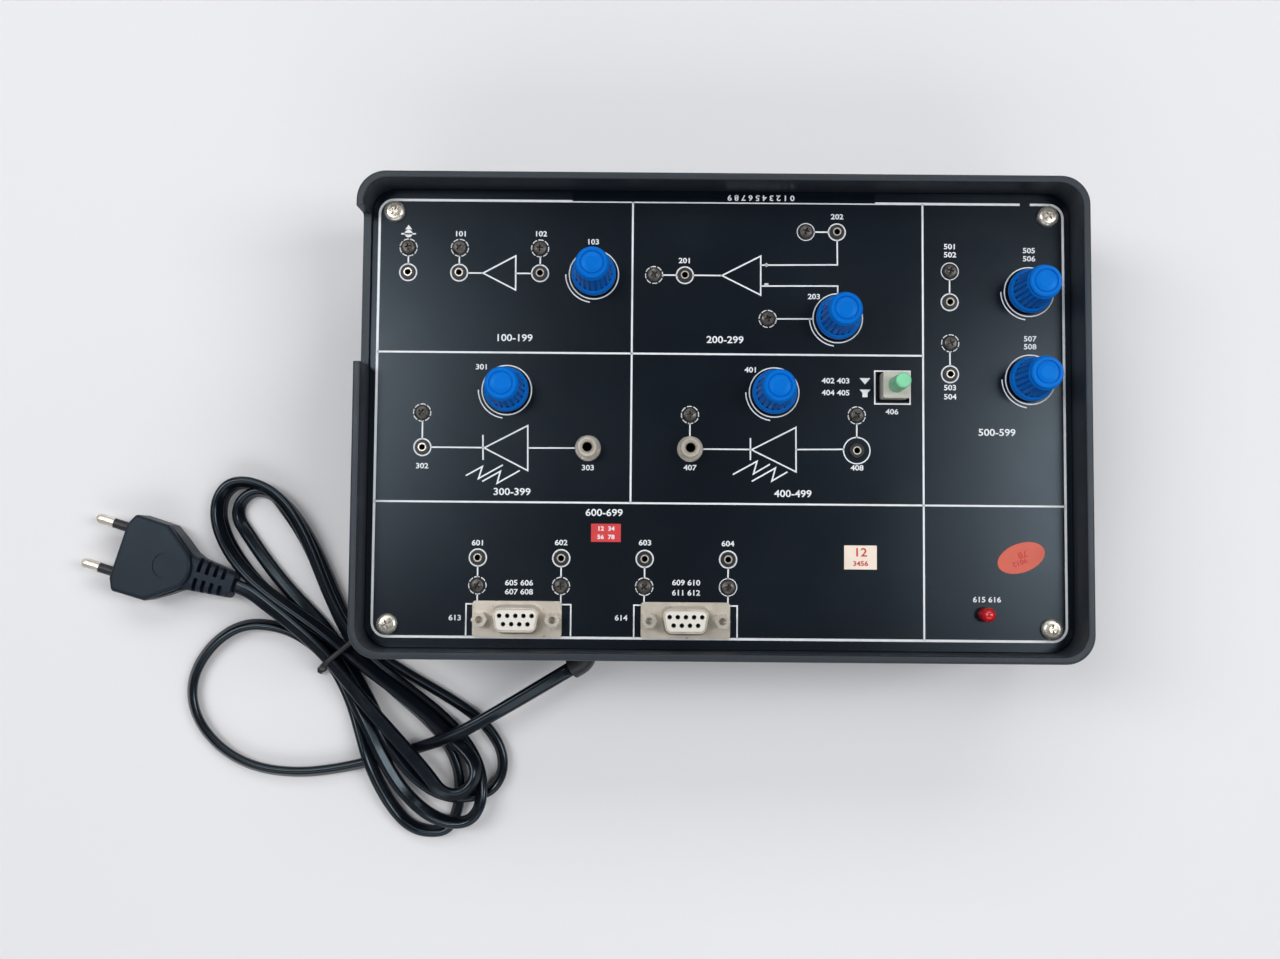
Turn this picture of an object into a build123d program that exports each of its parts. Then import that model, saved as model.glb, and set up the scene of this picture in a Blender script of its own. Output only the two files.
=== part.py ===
from build123d import *
import math
import os

# Fibre optics trainer: a deep moulded tray with a printed front panel sunk below its rim, its
# circuit board hung under the panel, and a tied mains cord beside it. Millimetres, +Z up,
# origin on the table under the middle of the case.

# Case
CASE_W = 251.0
CASE_D = 166.4
RIM_Z = 70.0
FOOT_H = 4.0
DRAFT_RUN = 1.0
CORNER_R = 9.0
FLOOR_T = 2.6
FLOOR_Z = FOOT_H + FLOOR_T
CAVITY_W = 243.4
CAVITY_D = 158.8
CAVITY_RUN = 1.2
CAVITY_R = 7.0
HEEL_R = 3.0
RIM_OUTER_R = 1.0
RIM_INNER_R = 0.6
NOTCH_Y0 = 17.3
NOTCH_Y1 = 71.0
NOTCH_FLOOR_Z = 58.5
NOTCH_R = 1.5

# Front panel and circuit board
PANEL_W = 244.8
PANEL_D = 160.2
PANEL_T = 2.0
PANEL_R = 8.6
PANEL_Z = 57.0
PANEL_UNDER = PANEL_Z - PANEL_T
BOARD_W = 236.0
BOARD_D = 153.0
BOARD_T = 1.6
BOARD_Z = 45.0
BOARD_UNDER = BOARD_Z - BOARD_T
BOARD_NOTCH_X = 9.0
BOARD_NOTCH_Y = 10.5

# Fasteners
THREAD_R = 1.45
THREAD_HOLE_R = 1.5
PANEL_SCREW_X = 114.6
PANEL_SCREW_Y = 72.1
PANEL_HEAD_R = 3.6
PANEL_HEAD_H = 2.3
PANEL_SCREW_L = 14.0
BOSS_R = 4.0
WEB_T = 2.0
WEB_X = 8.8
WEB_Y = 9.2
LEDGE_L = 4.0
LEDGE_X = 40.0
LEDGE_Y = -8.0
FOOT_X = 102.0
FOOT_Y = 64.0
FOOT_R = 7.0
FOOT_BOSS_R = 3.6
FOOT_BOSS_H = 6.0
FOOT_SINK = 2.4
FOOT_HOLE_L = 7.5
TERMINAL_HEAD_R = 2.6
TERMINAL_HEAD_H = 1.8
SPACER_R = 2.25
M3_FLAT = 5.5
M3_NUT_H = 2.4

# Positions on the panel, read from the photograph
KNOBS = {
    "amplifier": (-44.5, 50.4),
    "receiver": (-74.5, 9.4),
    "transmitter": (18.8, 9.3),
    "comparator": (41.0, 35.6),
    "generator_upper": (108.0, 45.4),
    "generator_lower": (108.2, 14.5),
}
SOCKETS = [
    (-109.7, 50.7),
    (-91.8, 50.7),
    (-63.4, 50.7),
    (-12.6, 50.4),
    (40.7, 66.1),
    (-103.6, -10.8),
    (47.6, -10.8),
    (80.2, 41.6),
    (80.2, 16.2),
    (-83.7, -49.0),
    (-54.8, -49.0),
    (-25.9, -49.0),
    (3.0, -49.0),
]
TERMINALS = [
    (-109.7, 59.5),
    (-91.7, 59.5),
    (-63.5, 59.5),
    (-23.4, 50.4),
    (29.8, 66.1),
    (16.5, 35.2),
    (-103.9, 1.3),
    (-10.5, 1.2),
    (47.6, 1.5),
    (80.3, 52.5),
    (80.3, 27.1),
    (-83.7, -58.6),
    (-54.8, -58.6),
    (-26.0, -58.6),
    (3.0, -58.6),
]
RECEPTACLES = [(-45.9, -10.8), (-10.5, -10.8)]
SWITCH = (60.6, 11.8)
CONNECTORS = [(-69.8, -70.1), (-11.7, -70.1)]
LAMP = (92.0, -67.2)

# Transformer
CORE_X = -75.0
CORE_Y = 10.0
CORE_W = 38.4
CORE_D = 15.0
CORE_H = 32.0
WINDOW_W = 6.4
WINDOW_H = 19.2
LEG_W = 12.8
COIL_D = 27.0
STRAP_T = 1.0
LUG_X = 25.0
LUG_END = 29.0

# Cord bushing through the front wall
GLAND_X = -47.5
GLAND_Z = 23.3
GLAND_R = 4.2
GLAND_BEND_Y = -87.0
GLAND_FLANGE_R = 6.0
OUTLET = (-0.82, -0.51, -0.26)
OUTLET_LEG = 6.0

# Smaller parts in and on the panel
LEAD_R = 0.35
WIRE_R = 0.8
HOUSING_R = 5.5
RECEPTACLE_R = 3.17
RECEPTACLE_NUT_R = 4.45
RECEPTACLE_NUT_H = 2.6
RECEPTACLE_TOP = PANEL_Z + 8.2
FIBRE_BORE_R = 1.6
DIODE_R = 2.8
DIODE_H = 5.5
LAMP_R = 2.5
LABEL_T = 0.2
TERMINAL_SCREW_END = BOARD_UNDER - M3_NUT_H - 0.8
CAPACITOR_R = 6.5
CAPACITOR_H = 21.0
CAPACITORS = [(-30.0, 20.0), (-30.0, 38.0)]
IC_SIZE = (9.8, 6.4, 3.3)
LEG_PITCH = 2.54
IC_PLACES = [(-78.0, 38.0), (60.0, 38.0), (92.0, -8.0), (-40.0, -32.0)]

# Two-millimetre socket
SOCKET_BORE_R = 1.05
SOCKET_DEPTH = 10.5
CONTACT_R = 1.45
CONTACT_TOP = PANEL_Z + 0.9
COLLAR_R = 2.6
COLLAR_H = 0.7
BARREL_R = 2.3
TAIL_R = 0.5
TAIL_END = BOARD_UNDER - 0.6

# Potentiometer, shaft and knob
POT_R = 8.25
BUSHING_R = 3.5
BUSHING_TOP = PANEL_Z + 3.2
SHAFT_R = 3.0
SHAFT_BORE_R = 3.05
WIPER_R = 6.0
POT_NUT_FLAT = 10.0
POT_NUT_H = 2.4
SKIRT_R = 7.75
SKIRT_GAP = 1.4
GRIP_R0 = 6.75
GRIP_R1 = 5.85
GRIP_Z0 = 4.1
GRIP_Z1 = 16.7
KNOB_TOP = 19.0
CAP_R = 5.4
FLUTES = 20
FLUTE_SIDE = 0.75
KNOB_HOLLOW_R = 6.6
KNOB_HOLLOW_Z = 4.7
KNOB_BORE_TOP = 15.6

# Push-button
SWITCH_OPENING = (11.4, 10.8)
BLOCK = 9.2
BLOCK_TOP = PANEL_Z + 4.8
BLOCK_PLATE = 1.8
BUTTON_R = 2.7
BUTTON_HOLE_R = 2.78
BUTTON_TOP = PANEL_Z + 16.5
STEM_R = 1.8
PLUNGER_R = 3.7
SWITCH_CAVITY_R = 4.0
SWITCH_FLOOR = 47.0
PLUNGER_UNDER = 57.5
SPRING_R = 2.7
SPRING_WIRE_R = 0.3
SPRING_TURNS = 5

# Nine-way connector
FLANGE_W = 30.8
FLANGE_D = 12.5
FLANGE_T = 1.0
D_W = 16.3
D_H = 8.3
D_R = 2.3
D_WALL = 0.5
D_SHOULDER = 0.9
D_TOP = PANEL_Z + 6.8
D_SLOPE = math.tan(math.radians(10))
JACK_X = 12.5
JACK_FLAT = 4.75
JACK_TOP = PANEL_Z + 6.0
JACK_BORE_R = 1.25
PIN_PITCH = 2.77
ROW_PITCH = 2.84

# Mains cord: flat two-core cord, drawn as a round tube of the same section area
TUBE = 4.2
PITCH = TUBE + 0.45
LAYER_1 = TUBE / 2
LAYER_2 = LAYER_1 + PITCH
LAYER_3 = LAYER_1 + 2 * PITCH
HANK_X = -142.5
HANK_Y = -87.0
HANK_ANGLE = math.radians(-56.15)
HANK_RISE = 0.8

# Tie
TIE_GAP = 0.3
TIE_T = 0.5
TIE_W = 3.2

# Plug
PLUG_X = -227.1
PLUG_Y = -47.9
PLUG_Z = 7.0
PLUG_ANGLE = 163.04
PLUG_L = 45.0
PLUG_T = 13.6
PLUG_LOW = 0.2
LEDGE_H = 10.6
BOSS_S = 19.3
BOSS_END_R = 9.8
RELIEF_S0 = 31.4
RELIEF_STEP = 3.2
RELIEF_SLOTS = 4
RELIEF_ROOT = 26.0
PIN_CORE_R = 1.5
PIN_ROOT = 8.0
PIN_R = 2.0
SLEEVE_R = 1.9
PIN_OUT = 14.5
SLEEVE_OUT = 7.0
PIN_Y = 9.0


LEAD_HOLES = [(x + dx, y) for x, y in CAPACITORS for dx in (-2.5, 2.5)]
LEAD_HOLES += [(x + dx, y) for x, y in RECEPTACLES + [LAMP] for dx in (-1.27, 1.27)]

UP = (Align.CENTER, Align.CENTER, Align.MIN)
DOWN = (Align.CENTER, Align.CENTER, Align.MAX)


def at(points, z=0.0):
    """Locations over plan points at one height."""
    return [Location((x, y, z)) for x, y in points]


def corners(x, y):
    """The four sign combinations of a plan point."""
    return [(sx * x, sy * y) for sx in (-1, 1) for sy in (-1, 1)]


def repeated(single, points):
    """Copies of one finished piece at several plan points."""
    with BuildPart() as group:
        with Locations(*at(points)):
            add(single.part)
    return group


def pan_screw(head_r, head_h, seat_z, length):
    """Pan-head screw pointing down from the seat of its head."""
    with BuildPart() as screw:
        with Locations((0, 0, seat_z)):
            Cylinder(head_r, head_h, align=UP)
        fillet(screw.edges().group_by(Axis.Z)[-1], head_h * 0.5)
        with Locations((0, 0, seat_z)):
            Cylinder(THREAD_R, length, align=DOWN)
    return screw


def hex_nut(flat, low_z, height, bore_r):
    """Hexagonal nut with a plain bore."""
    with BuildPart() as nut:
        with BuildSketch(Plane.XY.offset(low_z)):
            RegularPolygon(flat / 2, 6, major_radius=False)
            Circle(bore_r, mode=Mode.SUBTRACT)
        extrude(amount=height)
    return nut


def d_outline(grow):
    """Trapezoid with rounded corners, long side away from the user, as a face at z 0."""
    width = D_W + 2 * grow
    height = D_H + 2 * grow
    low = width / 2 - height * D_SLOPE
    with BuildSketch() as outline:
        with BuildLine():
            Polyline(
                (-width / 2, height / 2),
                (width / 2, height / 2),
                (low, -height / 2),
                (-low, -height / 2),
                close=True,
            )
        make_face()
        fillet(outline.vertices(), D_R + grow)
    return outline


# Case shell
RISE = RIM_Z - FOOT_H
CAVITY_RISE = RIM_Z - FLOOR_Z
with BuildPart() as case_shell:
    with BuildSketch(Plane.XY.offset(FOOT_H)):
        RectangleRounded(CASE_W - 2 * DRAFT_RUN, CASE_D - 2 * DRAFT_RUN, CORNER_R)
    extrude(amount=RISE, taper=-math.degrees(math.atan(DRAFT_RUN / RISE)))
    fillet(case_shell.faces().sort_by(Axis.Z)[0].edges(), HEEL_R)
    with BuildSketch(Plane.XY.offset(FLOOR_Z)):
        RectangleRounded(CAVITY_W, CAVITY_D, CAVITY_R)
    extrude(
        amount=CAVITY_RISE,
        taper=-math.degrees(math.atan(CAVITY_RUN / CAVITY_RISE)),
        mode=Mode.SUBTRACT,
    )
    rim = case_shell.faces().sort_by(Axis.Z)[-1]
    fillet(rim.outer_wire().edges(), RIM_OUTER_R)
    rim = case_shell.faces().sort_by(Axis.Z)[-1]
    fillet(rim.inner_wires()[0].edges(), RIM_INNER_R)
    # Notch in the left wall, with rounded lower corners and square end faces
    notch_mid = (NOTCH_Y0 + NOTCH_Y1) / 2
    with BuildSketch(Plane.YZ.offset(-CASE_W / 2 - 2)):
        with Locations((notch_mid, NOTCH_FLOOR_Z)):
            Rectangle(NOTCH_Y1 - NOTCH_Y0, 20, align=(Align.CENTER, Align.MIN))
        fillet(vertices().group_by(Axis.Z)[0], NOTCH_R)
    extrude(amount=6, mode=Mode.SUBTRACT)
    # Panel posts in the corners with webs to both walls
    for sx in (-1, 1):
        for sy in (-1, 1):
            post = (sx * PANEL_SCREW_X, sy * PANEL_SCREW_Y)
            with BuildSketch(Plane.XY.offset(FLOOR_Z)):
                with Locations(post):
                    Circle(BOSS_R)
                with Locations((post[0] + sx * WEB_X / 2, post[1])):
                    Rectangle(WEB_X, WEB_T)
                with Locations((post[0], post[1] + sy * WEB_Y / 2)):
                    Rectangle(WEB_T, WEB_Y)
            extrude(amount=PANEL_UNDER - FLOOR_Z)
    # Ledges on the walls that carry the panel between the posts
    with BuildSketch(Plane.XY.offset(FLOOR_Z)):
        with Locations(*corners(LEDGE_X, BOARD_D / 2 + 0.6 + LEDGE_L / 2)):
            Rectangle(WEB_T, LEDGE_L)
        with Locations(*[(s * (BOARD_W / 2 + 1.4 + LEDGE_L / 2), LEDGE_Y) for s in (-1, 1)]):
            Rectangle(LEDGE_L, WEB_T)
    extrude(amount=PANEL_UNDER - FLOOR_Z)
    # Foot posts
    with Locations(*at(corners(FOOT_X, FOOT_Y), FLOOR_Z)):
        Cylinder(FOOT_BOSS_R, FOOT_BOSS_H, align=UP)
    # Screw holes for the feet, the panel and the transformer, and the cord bushing's hole
    with Locations(*at(corners(FOOT_X, FOOT_Y), FOOT_H)):
        Cylinder(THREAD_HOLE_R, FOOT_HOLE_L, align=UP, mode=Mode.SUBTRACT)
    with Locations(*at(corners(PANEL_SCREW_X, PANEL_SCREW_Y), PANEL_UNDER)):
        Cylinder(THREAD_HOLE_R, PANEL_SCREW_L, align=DOWN, mode=Mode.SUBTRACT)
    with Locations(*at([(CORE_X + s * LUG_X, CORE_Y) for s in (-1, 1)], FOOT_H)):
        Cylinder(THREAD_HOLE_R, FLOOR_T, align=UP, mode=Mode.SUBTRACT)
    with BuildSketch(Plane.XZ.offset(CASE_D / 2 - 6)):
        with Locations((GLAND_X, GLAND_Z)):
            Circle(GLAND_R + 0.05)
    extrude(amount=8, mode=Mode.SUBTRACT)
case_shell.part.label = "case_shell"

# Rubber feet and their screws
with BuildPart() as foot:
    Cylinder(FOOT_R, FOOT_H, align=UP)
    fillet(foot.edges().group_by(Axis.Z)[0], 0.8)
    Cylinder(3.4, FOOT_SINK, align=UP, mode=Mode.SUBTRACT)
    Cylinder(THREAD_HOLE_R, FOOT_H, align=UP, mode=Mode.SUBTRACT)
rubber_feet = repeated(foot, corners(FOOT_X, FOOT_Y))
rubber_feet.part.label = "rubber_feet"

with BuildPart() as foot_screw:
    with Locations((0, 0, FOOT_SINK)):
        Cylinder(3.0, 1.6, align=DOWN)
    fillet(foot_screw.edges().group_by(Axis.Z)[0], 0.7)
    with Locations((0, 0, FOOT_SINK)):
        Cylinder(THREAD_R, 8.5, align=UP)
foot_screws = repeated(foot_screw, corners(FOOT_X, FOOT_Y))
foot_screws.part.label = "foot_screws"

# Front panel with every opening the parts need
with BuildPart() as front_panel:
    with BuildSketch(Plane.XY.offset(PANEL_UNDER)):
        RectangleRounded(PANEL_W, PANEL_D, PANEL_R)
        with Locations(*corners(PANEL_SCREW_X, PANEL_SCREW_Y)):
            Circle(1.6, mode=Mode.SUBTRACT)
        with Locations(*KNOBS.values()):
            Circle(BUSHING_R + 0.05, mode=Mode.SUBTRACT)
        with Locations(*SOCKETS):
            Circle(BARREL_R + 0.05, mode=Mode.SUBTRACT)
        with Locations(*TERMINALS):
            Circle(THREAD_HOLE_R, mode=Mode.SUBTRACT)
        with Locations(*RECEPTACLES):
            Circle(RECEPTACLE_R + 0.05, mode=Mode.SUBTRACT)
        with Locations(SWITCH):
            Rectangle(*SWITCH_OPENING, mode=Mode.SUBTRACT)
        with Locations(*CONNECTORS):
            Rectangle(D_W + 1.1, D_H + 1.1, mode=Mode.SUBTRACT)
        with Locations(*[(x + s * JACK_X, y) for x, y in CONNECTORS for s in (-1, 1)]):
            Circle(THREAD_HOLE_R, mode=Mode.SUBTRACT)
        with Locations(LAMP):
            Circle(LAMP_R + 0.05, mode=Mode.SUBTRACT)
    extrude(amount=PANEL_T)
front_panel.part.label = "front_panel"

panel_screw = pan_screw(PANEL_HEAD_R, PANEL_HEAD_H, PANEL_Z, PANEL_T + PANEL_SCREW_L - 2)
panel_screws = repeated(panel_screw, corners(PANEL_SCREW_X, PANEL_SCREW_Y))
panel_screws.part.label = "panel_screws"

# Circuit board
with BuildPart() as circuit_board:
    with BuildSketch(Plane.XY.offset(BOARD_UNDER)):
        Rectangle(BOARD_W, BOARD_D)
        with Locations(*corners(BOARD_W / 2, BOARD_D / 2)):
            Rectangle(2 * BOARD_NOTCH_X, 2 * BOARD_NOTCH_Y, mode=Mode.SUBTRACT)
        with Locations(*TERMINALS):
            Circle(THREAD_HOLE_R, mode=Mode.SUBTRACT)
        with Locations(*SOCKETS):
            Circle(TAIL_R + 0.05, mode=Mode.SUBTRACT)
        with Locations(*LEAD_HOLES):
            Circle(LEAD_R + 0.05, mode=Mode.SUBTRACT)
    extrude(amount=BOARD_T)
circuit_board.part.label = "circuit_board"

# Screws that stand at the test points and hang the board under the panel
terminal_screw = pan_screw(TERMINAL_HEAD_R, TERMINAL_HEAD_H, PANEL_Z, PANEL_Z - TERMINAL_SCREW_END)
terminal_screws = repeated(terminal_screw, TERMINALS)
terminal_screws.part.label = "terminal_screws"

with BuildPart() as spacer:
    with Locations((0, 0, BOARD_Z)):
        Cylinder(SPACER_R, PANEL_UNDER - BOARD_Z, align=UP)
        Cylinder(THREAD_HOLE_R, PANEL_UNDER - BOARD_Z, align=UP, mode=Mode.SUBTRACT)
terminal_spacers = repeated(spacer, TERMINALS)
terminal_spacers.part.label = "terminal_spacers"

terminal_nuts = repeated(hex_nut(M3_FLAT, BOARD_UNDER - M3_NUT_H, M3_NUT_H, THREAD_HOLE_R), TERMINALS)
terminal_nuts.part.label = "terminal_nuts"

# Transformer: laminated core, wound bobbin through both windows, strap, screws and nuts
core_mid_z = FLOOR_Z + CORE_H / 2
window_x = LEG_W / 2 + WINDOW_W / 2
with BuildPart() as transformer_core:
    with Locations((CORE_X, CORE_Y, core_mid_z)):
        Box(CORE_W, CORE_D, CORE_H)
    with Locations(*[(CORE_X + s * window_x, CORE_Y, core_mid_z) for s in (-1, 1)]):
        Box(WINDOW_W, CORE_D, WINDOW_H, mode=Mode.SUBTRACT)
transformer_core.part.label = "transformer_core"

with BuildPart() as transformer_coil:
    with Locations((CORE_X, CORE_Y, core_mid_z)):
        Box(LEG_W + 2 * WINDOW_W - 0.6, COIL_D, WINDOW_H - 0.6)
    fillet(transformer_coil.edges().filter_by(Axis.Z), 2.0)
    with Locations((CORE_X, CORE_Y, core_mid_z)):
        Box(LEG_W + 0.4, CORE_D + 0.4, WINDOW_H, mode=Mode.SUBTRACT)
transformer_coil.part.label = "transformer_coil"

strap_top = FLOOR_Z + CORE_H + STRAP_T
with BuildPart() as transformer_strap:
    with BuildSketch(Plane.XZ.offset(-CORE_Y)):
        with BuildLine():
            Polyline(
                (CORE_X - LUG_END, FLOOR_Z),
                (CORE_X - CORE_W / 2, FLOOR_Z),
                (CORE_X - CORE_W / 2, strap_top - STRAP_T),
                (CORE_X + CORE_W / 2, strap_top - STRAP_T),
                (CORE_X + CORE_W / 2, FLOOR_Z),
                (CORE_X + LUG_END, FLOOR_Z),
                (CORE_X + LUG_END, FLOOR_Z + STRAP_T),
                (CORE_X + CORE_W / 2 + STRAP_T, FLOOR_Z + STRAP_T),
                (CORE_X + CORE_W / 2 + STRAP_T, strap_top),
                (CORE_X - CORE_W / 2 - STRAP_T, strap_top),
                (CORE_X - CORE_W / 2 - STRAP_T, FLOOR_Z + STRAP_T),
                (CORE_X - LUG_END, FLOOR_Z + STRAP_T),
                close=True,
            )
        make_face()
    extrude(amount=5, both=True)
    with Locations(*at([(CORE_X + s * LUG_X, CORE_Y) for s in (-1, 1)], FLOOR_Z)):
        Cylinder(THREAD_HOLE_R, STRAP_T, align=UP, mode=Mode.SUBTRACT)
transformer_strap.part.label = "transformer_strap"

with BuildPart() as core_screw:
    with Locations((0, 0, FOOT_H)):
        Cylinder(2.8, 1.8, align=DOWN)
    fillet(core_screw.edges().group_by(Axis.Z)[0], 0.8)
    with Locations((0, 0, FOOT_H)):
        Cylinder(THREAD_R, 7.5, align=UP)
lugs = [(CORE_X + s * LUG_X, CORE_Y) for s in (-1, 1)]
transformer_screws = repeated(core_screw, lugs)
transformer_screws.part.label = "transformer_screws"
transformer_nuts = repeated(hex_nut(M3_FLAT, FLOOR_Z + STRAP_T, M3_NUT_H, THREAD_HOLE_R), lugs)
transformer_nuts.part.label = "transformer_nuts"


def corner_radii(points):
    """Radius of each inner corner: its tangent takes 45 per cent of the shorter run."""
    radii = []
    for before, corner, after in zip(points, points[1:], points[2:]):
        a = Vector(*before) - Vector(*corner)
        b = Vector(*after) - Vector(*corner)
        half_turn = (math.pi - math.radians(a.get_angle(b))) / 2
        radii.append(0.45 * min(a.length, b.length) / math.tan(half_turn))
    return radii


def tube(points, radius, name):
    """Round tube along straight runs joined by tangent arcs."""
    radii = corner_radii(points)
    print(name, "radii", [round(r, 1) for r in radii])
    with BuildPart() as swept:
        with BuildLine() as route:
            FilletPolyline(*points, radius=radii)
        line = route.wires()[0]
        with BuildSketch(Plane(origin=line @ 0, z_dir=line % 0)):
            Circle(radius)
        sweep(path=line)
    expected = math.pi * radius**2 * line.length
    print(name, "length", round(line.length, 1), "volume", round(swept.part.volume / expected, 4))
    return swept


# Leads inside the case: bushing to primary winding, secondary winding to board
GLAND_INSIDE = -76.5
primary_routes = []
for side in (-1, 1):
    start = GLAND_X + side * 1.4
    end = CORE_X + side * 1.4 - 2.0
    primary_routes.append(
        [
            (start, GLAND_INSIDE, GLAND_Z),
            (start, -64.0, GLAND_Z),
            (start - 8.0, -50.0, GLAND_Z),
            (end + 8.0, -30.0, GLAND_Z),
            (end, -17.0, GLAND_Z),
            (end, CORE_Y - COIL_D / 2, GLAND_Z),
        ]
    )
with BuildPart() as mains_leads:
    for route in primary_routes:
        add(tube(route, WIRE_R, "mains_lead").part)
mains_leads.part.label = "mains_leads"

with BuildPart() as secondary_leads:
    for step in (-1, 0, 1):
        x = CORE_X + step * 4.0
        add(
            tube(
                [
                    (x, CORE_Y + COIL_D / 2, 26.0),
                    (x, CORE_Y + COIL_D / 2 + 7.0, 26.0),
                    (x, CORE_Y + COIL_D / 2 + 14.0, 34.0),
                    (x, CORE_Y + COIL_D / 2 + 14.0, BOARD_UNDER),
                ],
                WIRE_R,
                "secondary_lead",
            ).part
        )
secondary_leads.part.label = "secondary_leads"

# Filter capacitors hang under the board on two leads each
with BuildPart() as capacitor:
    with Locations((0, 0, BOARD_UNDER)):
        Cylinder(CAPACITOR_R, CAPACITOR_H, align=DOWN)
    fillet(capacitor.edges().group_by(Axis.Z)[0], 0.8)
    with Locations(*at([(-2.5, 0), (2.5, 0)], BOARD_UNDER)):
        Cylinder(LEAD_R, BOARD_T + 0.8, align=UP)
filter_capacitors = repeated(capacitor, CAPACITORS)
filter_capacitors.part.label = "filter_capacitors"

# Integrated circuits on top of the board
with BuildPart() as ic:
    with Locations((0, 0, BOARD_Z + 0.5)):
        Box(*IC_SIZE, align=UP)
    legs = [(LEG_PITCH * (i - 1.5), s * (IC_SIZE[1] / 2 + 0.25)) for i in range(4) for s in (-1, 1)]
    with Locations(*at(legs, BOARD_Z)):
        Box(0.6, 0.5, 2.6, align=UP)
dip_ics = repeated(ic, IC_PLACES)
dip_ics.part.label = "dip_ics"

# Potentiometers: can on the board, threaded bushing through the panel, washer and nut
with BuildPart() as pot:
    with Locations((0, 0, BOARD_Z)):
        Cylinder(POT_R, PANEL_UNDER - BOARD_Z, align=UP)
        Cylinder(BUSHING_R, BUSHING_TOP - BOARD_Z, align=UP)
    with Locations((0, 0, BOARD_Z + 2.2)):
        Cylinder(WIPER_R + 0.5, 3.0, align=UP, mode=Mode.SUBTRACT)
        Cylinder(SHAFT_BORE_R, 20.0, align=UP, mode=Mode.SUBTRACT)
potentiometer_bodies = repeated(pot, KNOBS.values())
potentiometer_bodies.part.label = "potentiometer_bodies"

with BuildPart() as washer:
    with Locations((0, 0, PANEL_Z)):
        Cylinder(5.6, 0.5, align=UP)
        Cylinder(BUSHING_R + 0.05, 0.5, align=UP, mode=Mode.SUBTRACT)
potentiometer_washers = repeated(washer, KNOBS.values())
potentiometer_washers.part.label = "potentiometer_washers"

pot_nut = hex_nut(POT_NUT_FLAT, PANEL_Z + 0.5, POT_NUT_H, BUSHING_R + 0.05)
potentiometer_nuts = repeated(pot_nut, KNOBS.values())
potentiometer_nuts.part.label = "potentiometer_nuts"

with BuildPart() as shaft_form:
    with Locations((0, 0, BOARD_Z + 2.4)):
        Cylinder(WIPER_R, 1.6, align=UP)
        Cylinder(SHAFT_R, PANEL_Z + KNOB_BORE_TOP - 0.3 - BOARD_Z - 2.4, align=UP)

# Fluted knob: flanged skirt, tapering grip with cut flutes, ringed cap, hollow underside
with BuildPart() as knob_form:
    with BuildSketch(Plane.XZ):
        with BuildLine():
            Polyline(
                (0, KNOB_HOLLOW_Z),
                (KNOB_HOLLOW_R, KNOB_HOLLOW_Z),
                (KNOB_HOLLOW_R, SKIRT_GAP),
                (SKIRT_R, SKIRT_GAP),
                (SKIRT_R, 2.5),
            )
            RadiusArc((SKIRT_R, 2.5), (GRIP_R0, GRIP_Z0), -2.0)
            Polyline(
                (GRIP_R0, GRIP_Z0),
                (GRIP_R1, GRIP_Z1),
                (CAP_R, KNOB_TOP - 1.8),
                (CAP_R, KNOB_TOP - 0.6),
                (CAP_R - 0.5, KNOB_TOP - 0.2),
                (4.2, KNOB_TOP - 0.2),
                (4.1, KNOB_TOP - 0.7),
                (3.6, KNOB_TOP - 0.7),
                (3.5, KNOB_TOP - 0.3),
                (2.2, KNOB_TOP),
                (0, KNOB_TOP),
                (0, KNOB_HOLLOW_Z),
            )
        make_face()
    revolve(axis=Axis.Z)
    with Locations((0, 0, KNOB_HOLLOW_Z)):
        Cylinder(SHAFT_R + 0.03, KNOB_BORE_TOP - KNOB_HOLLOW_Z, align=UP, mode=Mode.SUBTRACT)
    grip_mid = ((GRIP_R0 + GRIP_R1) / 2, 0, (GRIP_Z0 + GRIP_Z1) / 2)
    lean = math.degrees(math.atan((GRIP_R0 - GRIP_R1) / (GRIP_Z1 - GRIP_Z0)))
    flute = Location(grip_mid, (0, -lean, 0)) * Location((0, 0, 0), (0, 0, 45))
    turns = [Location((0, 0, 0), (0, 0, 360 * (k + 0.5) / FLUTES)) * flute for k in range(FLUTES)]
    with Locations(*turns):
        Box(FLUTE_SIDE, FLUTE_SIDE, GRIP_Z1 - GRIP_Z0 - 0.3, mode=Mode.SUBTRACT)

knobs = {}
shafts = {}
for name, (x, y) in KNOBS.items():
    with BuildPart() as knob:
        with Locations((x, y, PANEL_Z)):
            add(knob_form.part)
    knob.part.label = f"{name}_knob"
    knobs[name] = knob
    with BuildPart() as shaft:
        with Locations((x, y, 0)):
            add(shaft_form.part)
    shaft.part.label = f"{name}_shaft"
    shafts[name] = shaft

# Sockets: insulating collar and bored contact with a tail through the board
with BuildPart() as collar:
    with Locations((0, 0, PANEL_Z - 8.0)):
        Cylinder(BARREL_R, 8.0, align=UP)
    with Locations((0, 0, PANEL_Z)):
        Cylinder(COLLAR_R, COLLAR_H, align=UP)
    fillet(collar.edges().group_by(Axis.Z)[-1], 0.3)
    with Locations((0, 0, PANEL_Z - 8.0)):
        Cylinder(CONTACT_R + 0.02, 9.0, align=UP, mode=Mode.SUBTRACT)
socket_collars = repeated(collar, SOCKETS)
socket_collars.part.label = "socket_collars"

with BuildPart() as contact:
    with Locations((0, 0, BOARD_Z + 1.0)):
        Cylinder(CONTACT_R, CONTACT_TOP - BOARD_Z - 1.0, align=UP)
    with Locations((0, 0, CONTACT_TOP)):
        Cylinder(SOCKET_BORE_R, SOCKET_DEPTH, align=DOWN, mode=Mode.SUBTRACT)
    with Locations((0, 0, TAIL_END)):
        Cylinder(TAIL_R, BOARD_Z + 1.0 - TAIL_END, align=UP)
socket_contacts = repeated(contact, SOCKETS)
socket_contacts.part.label = "socket_contacts"

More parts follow.
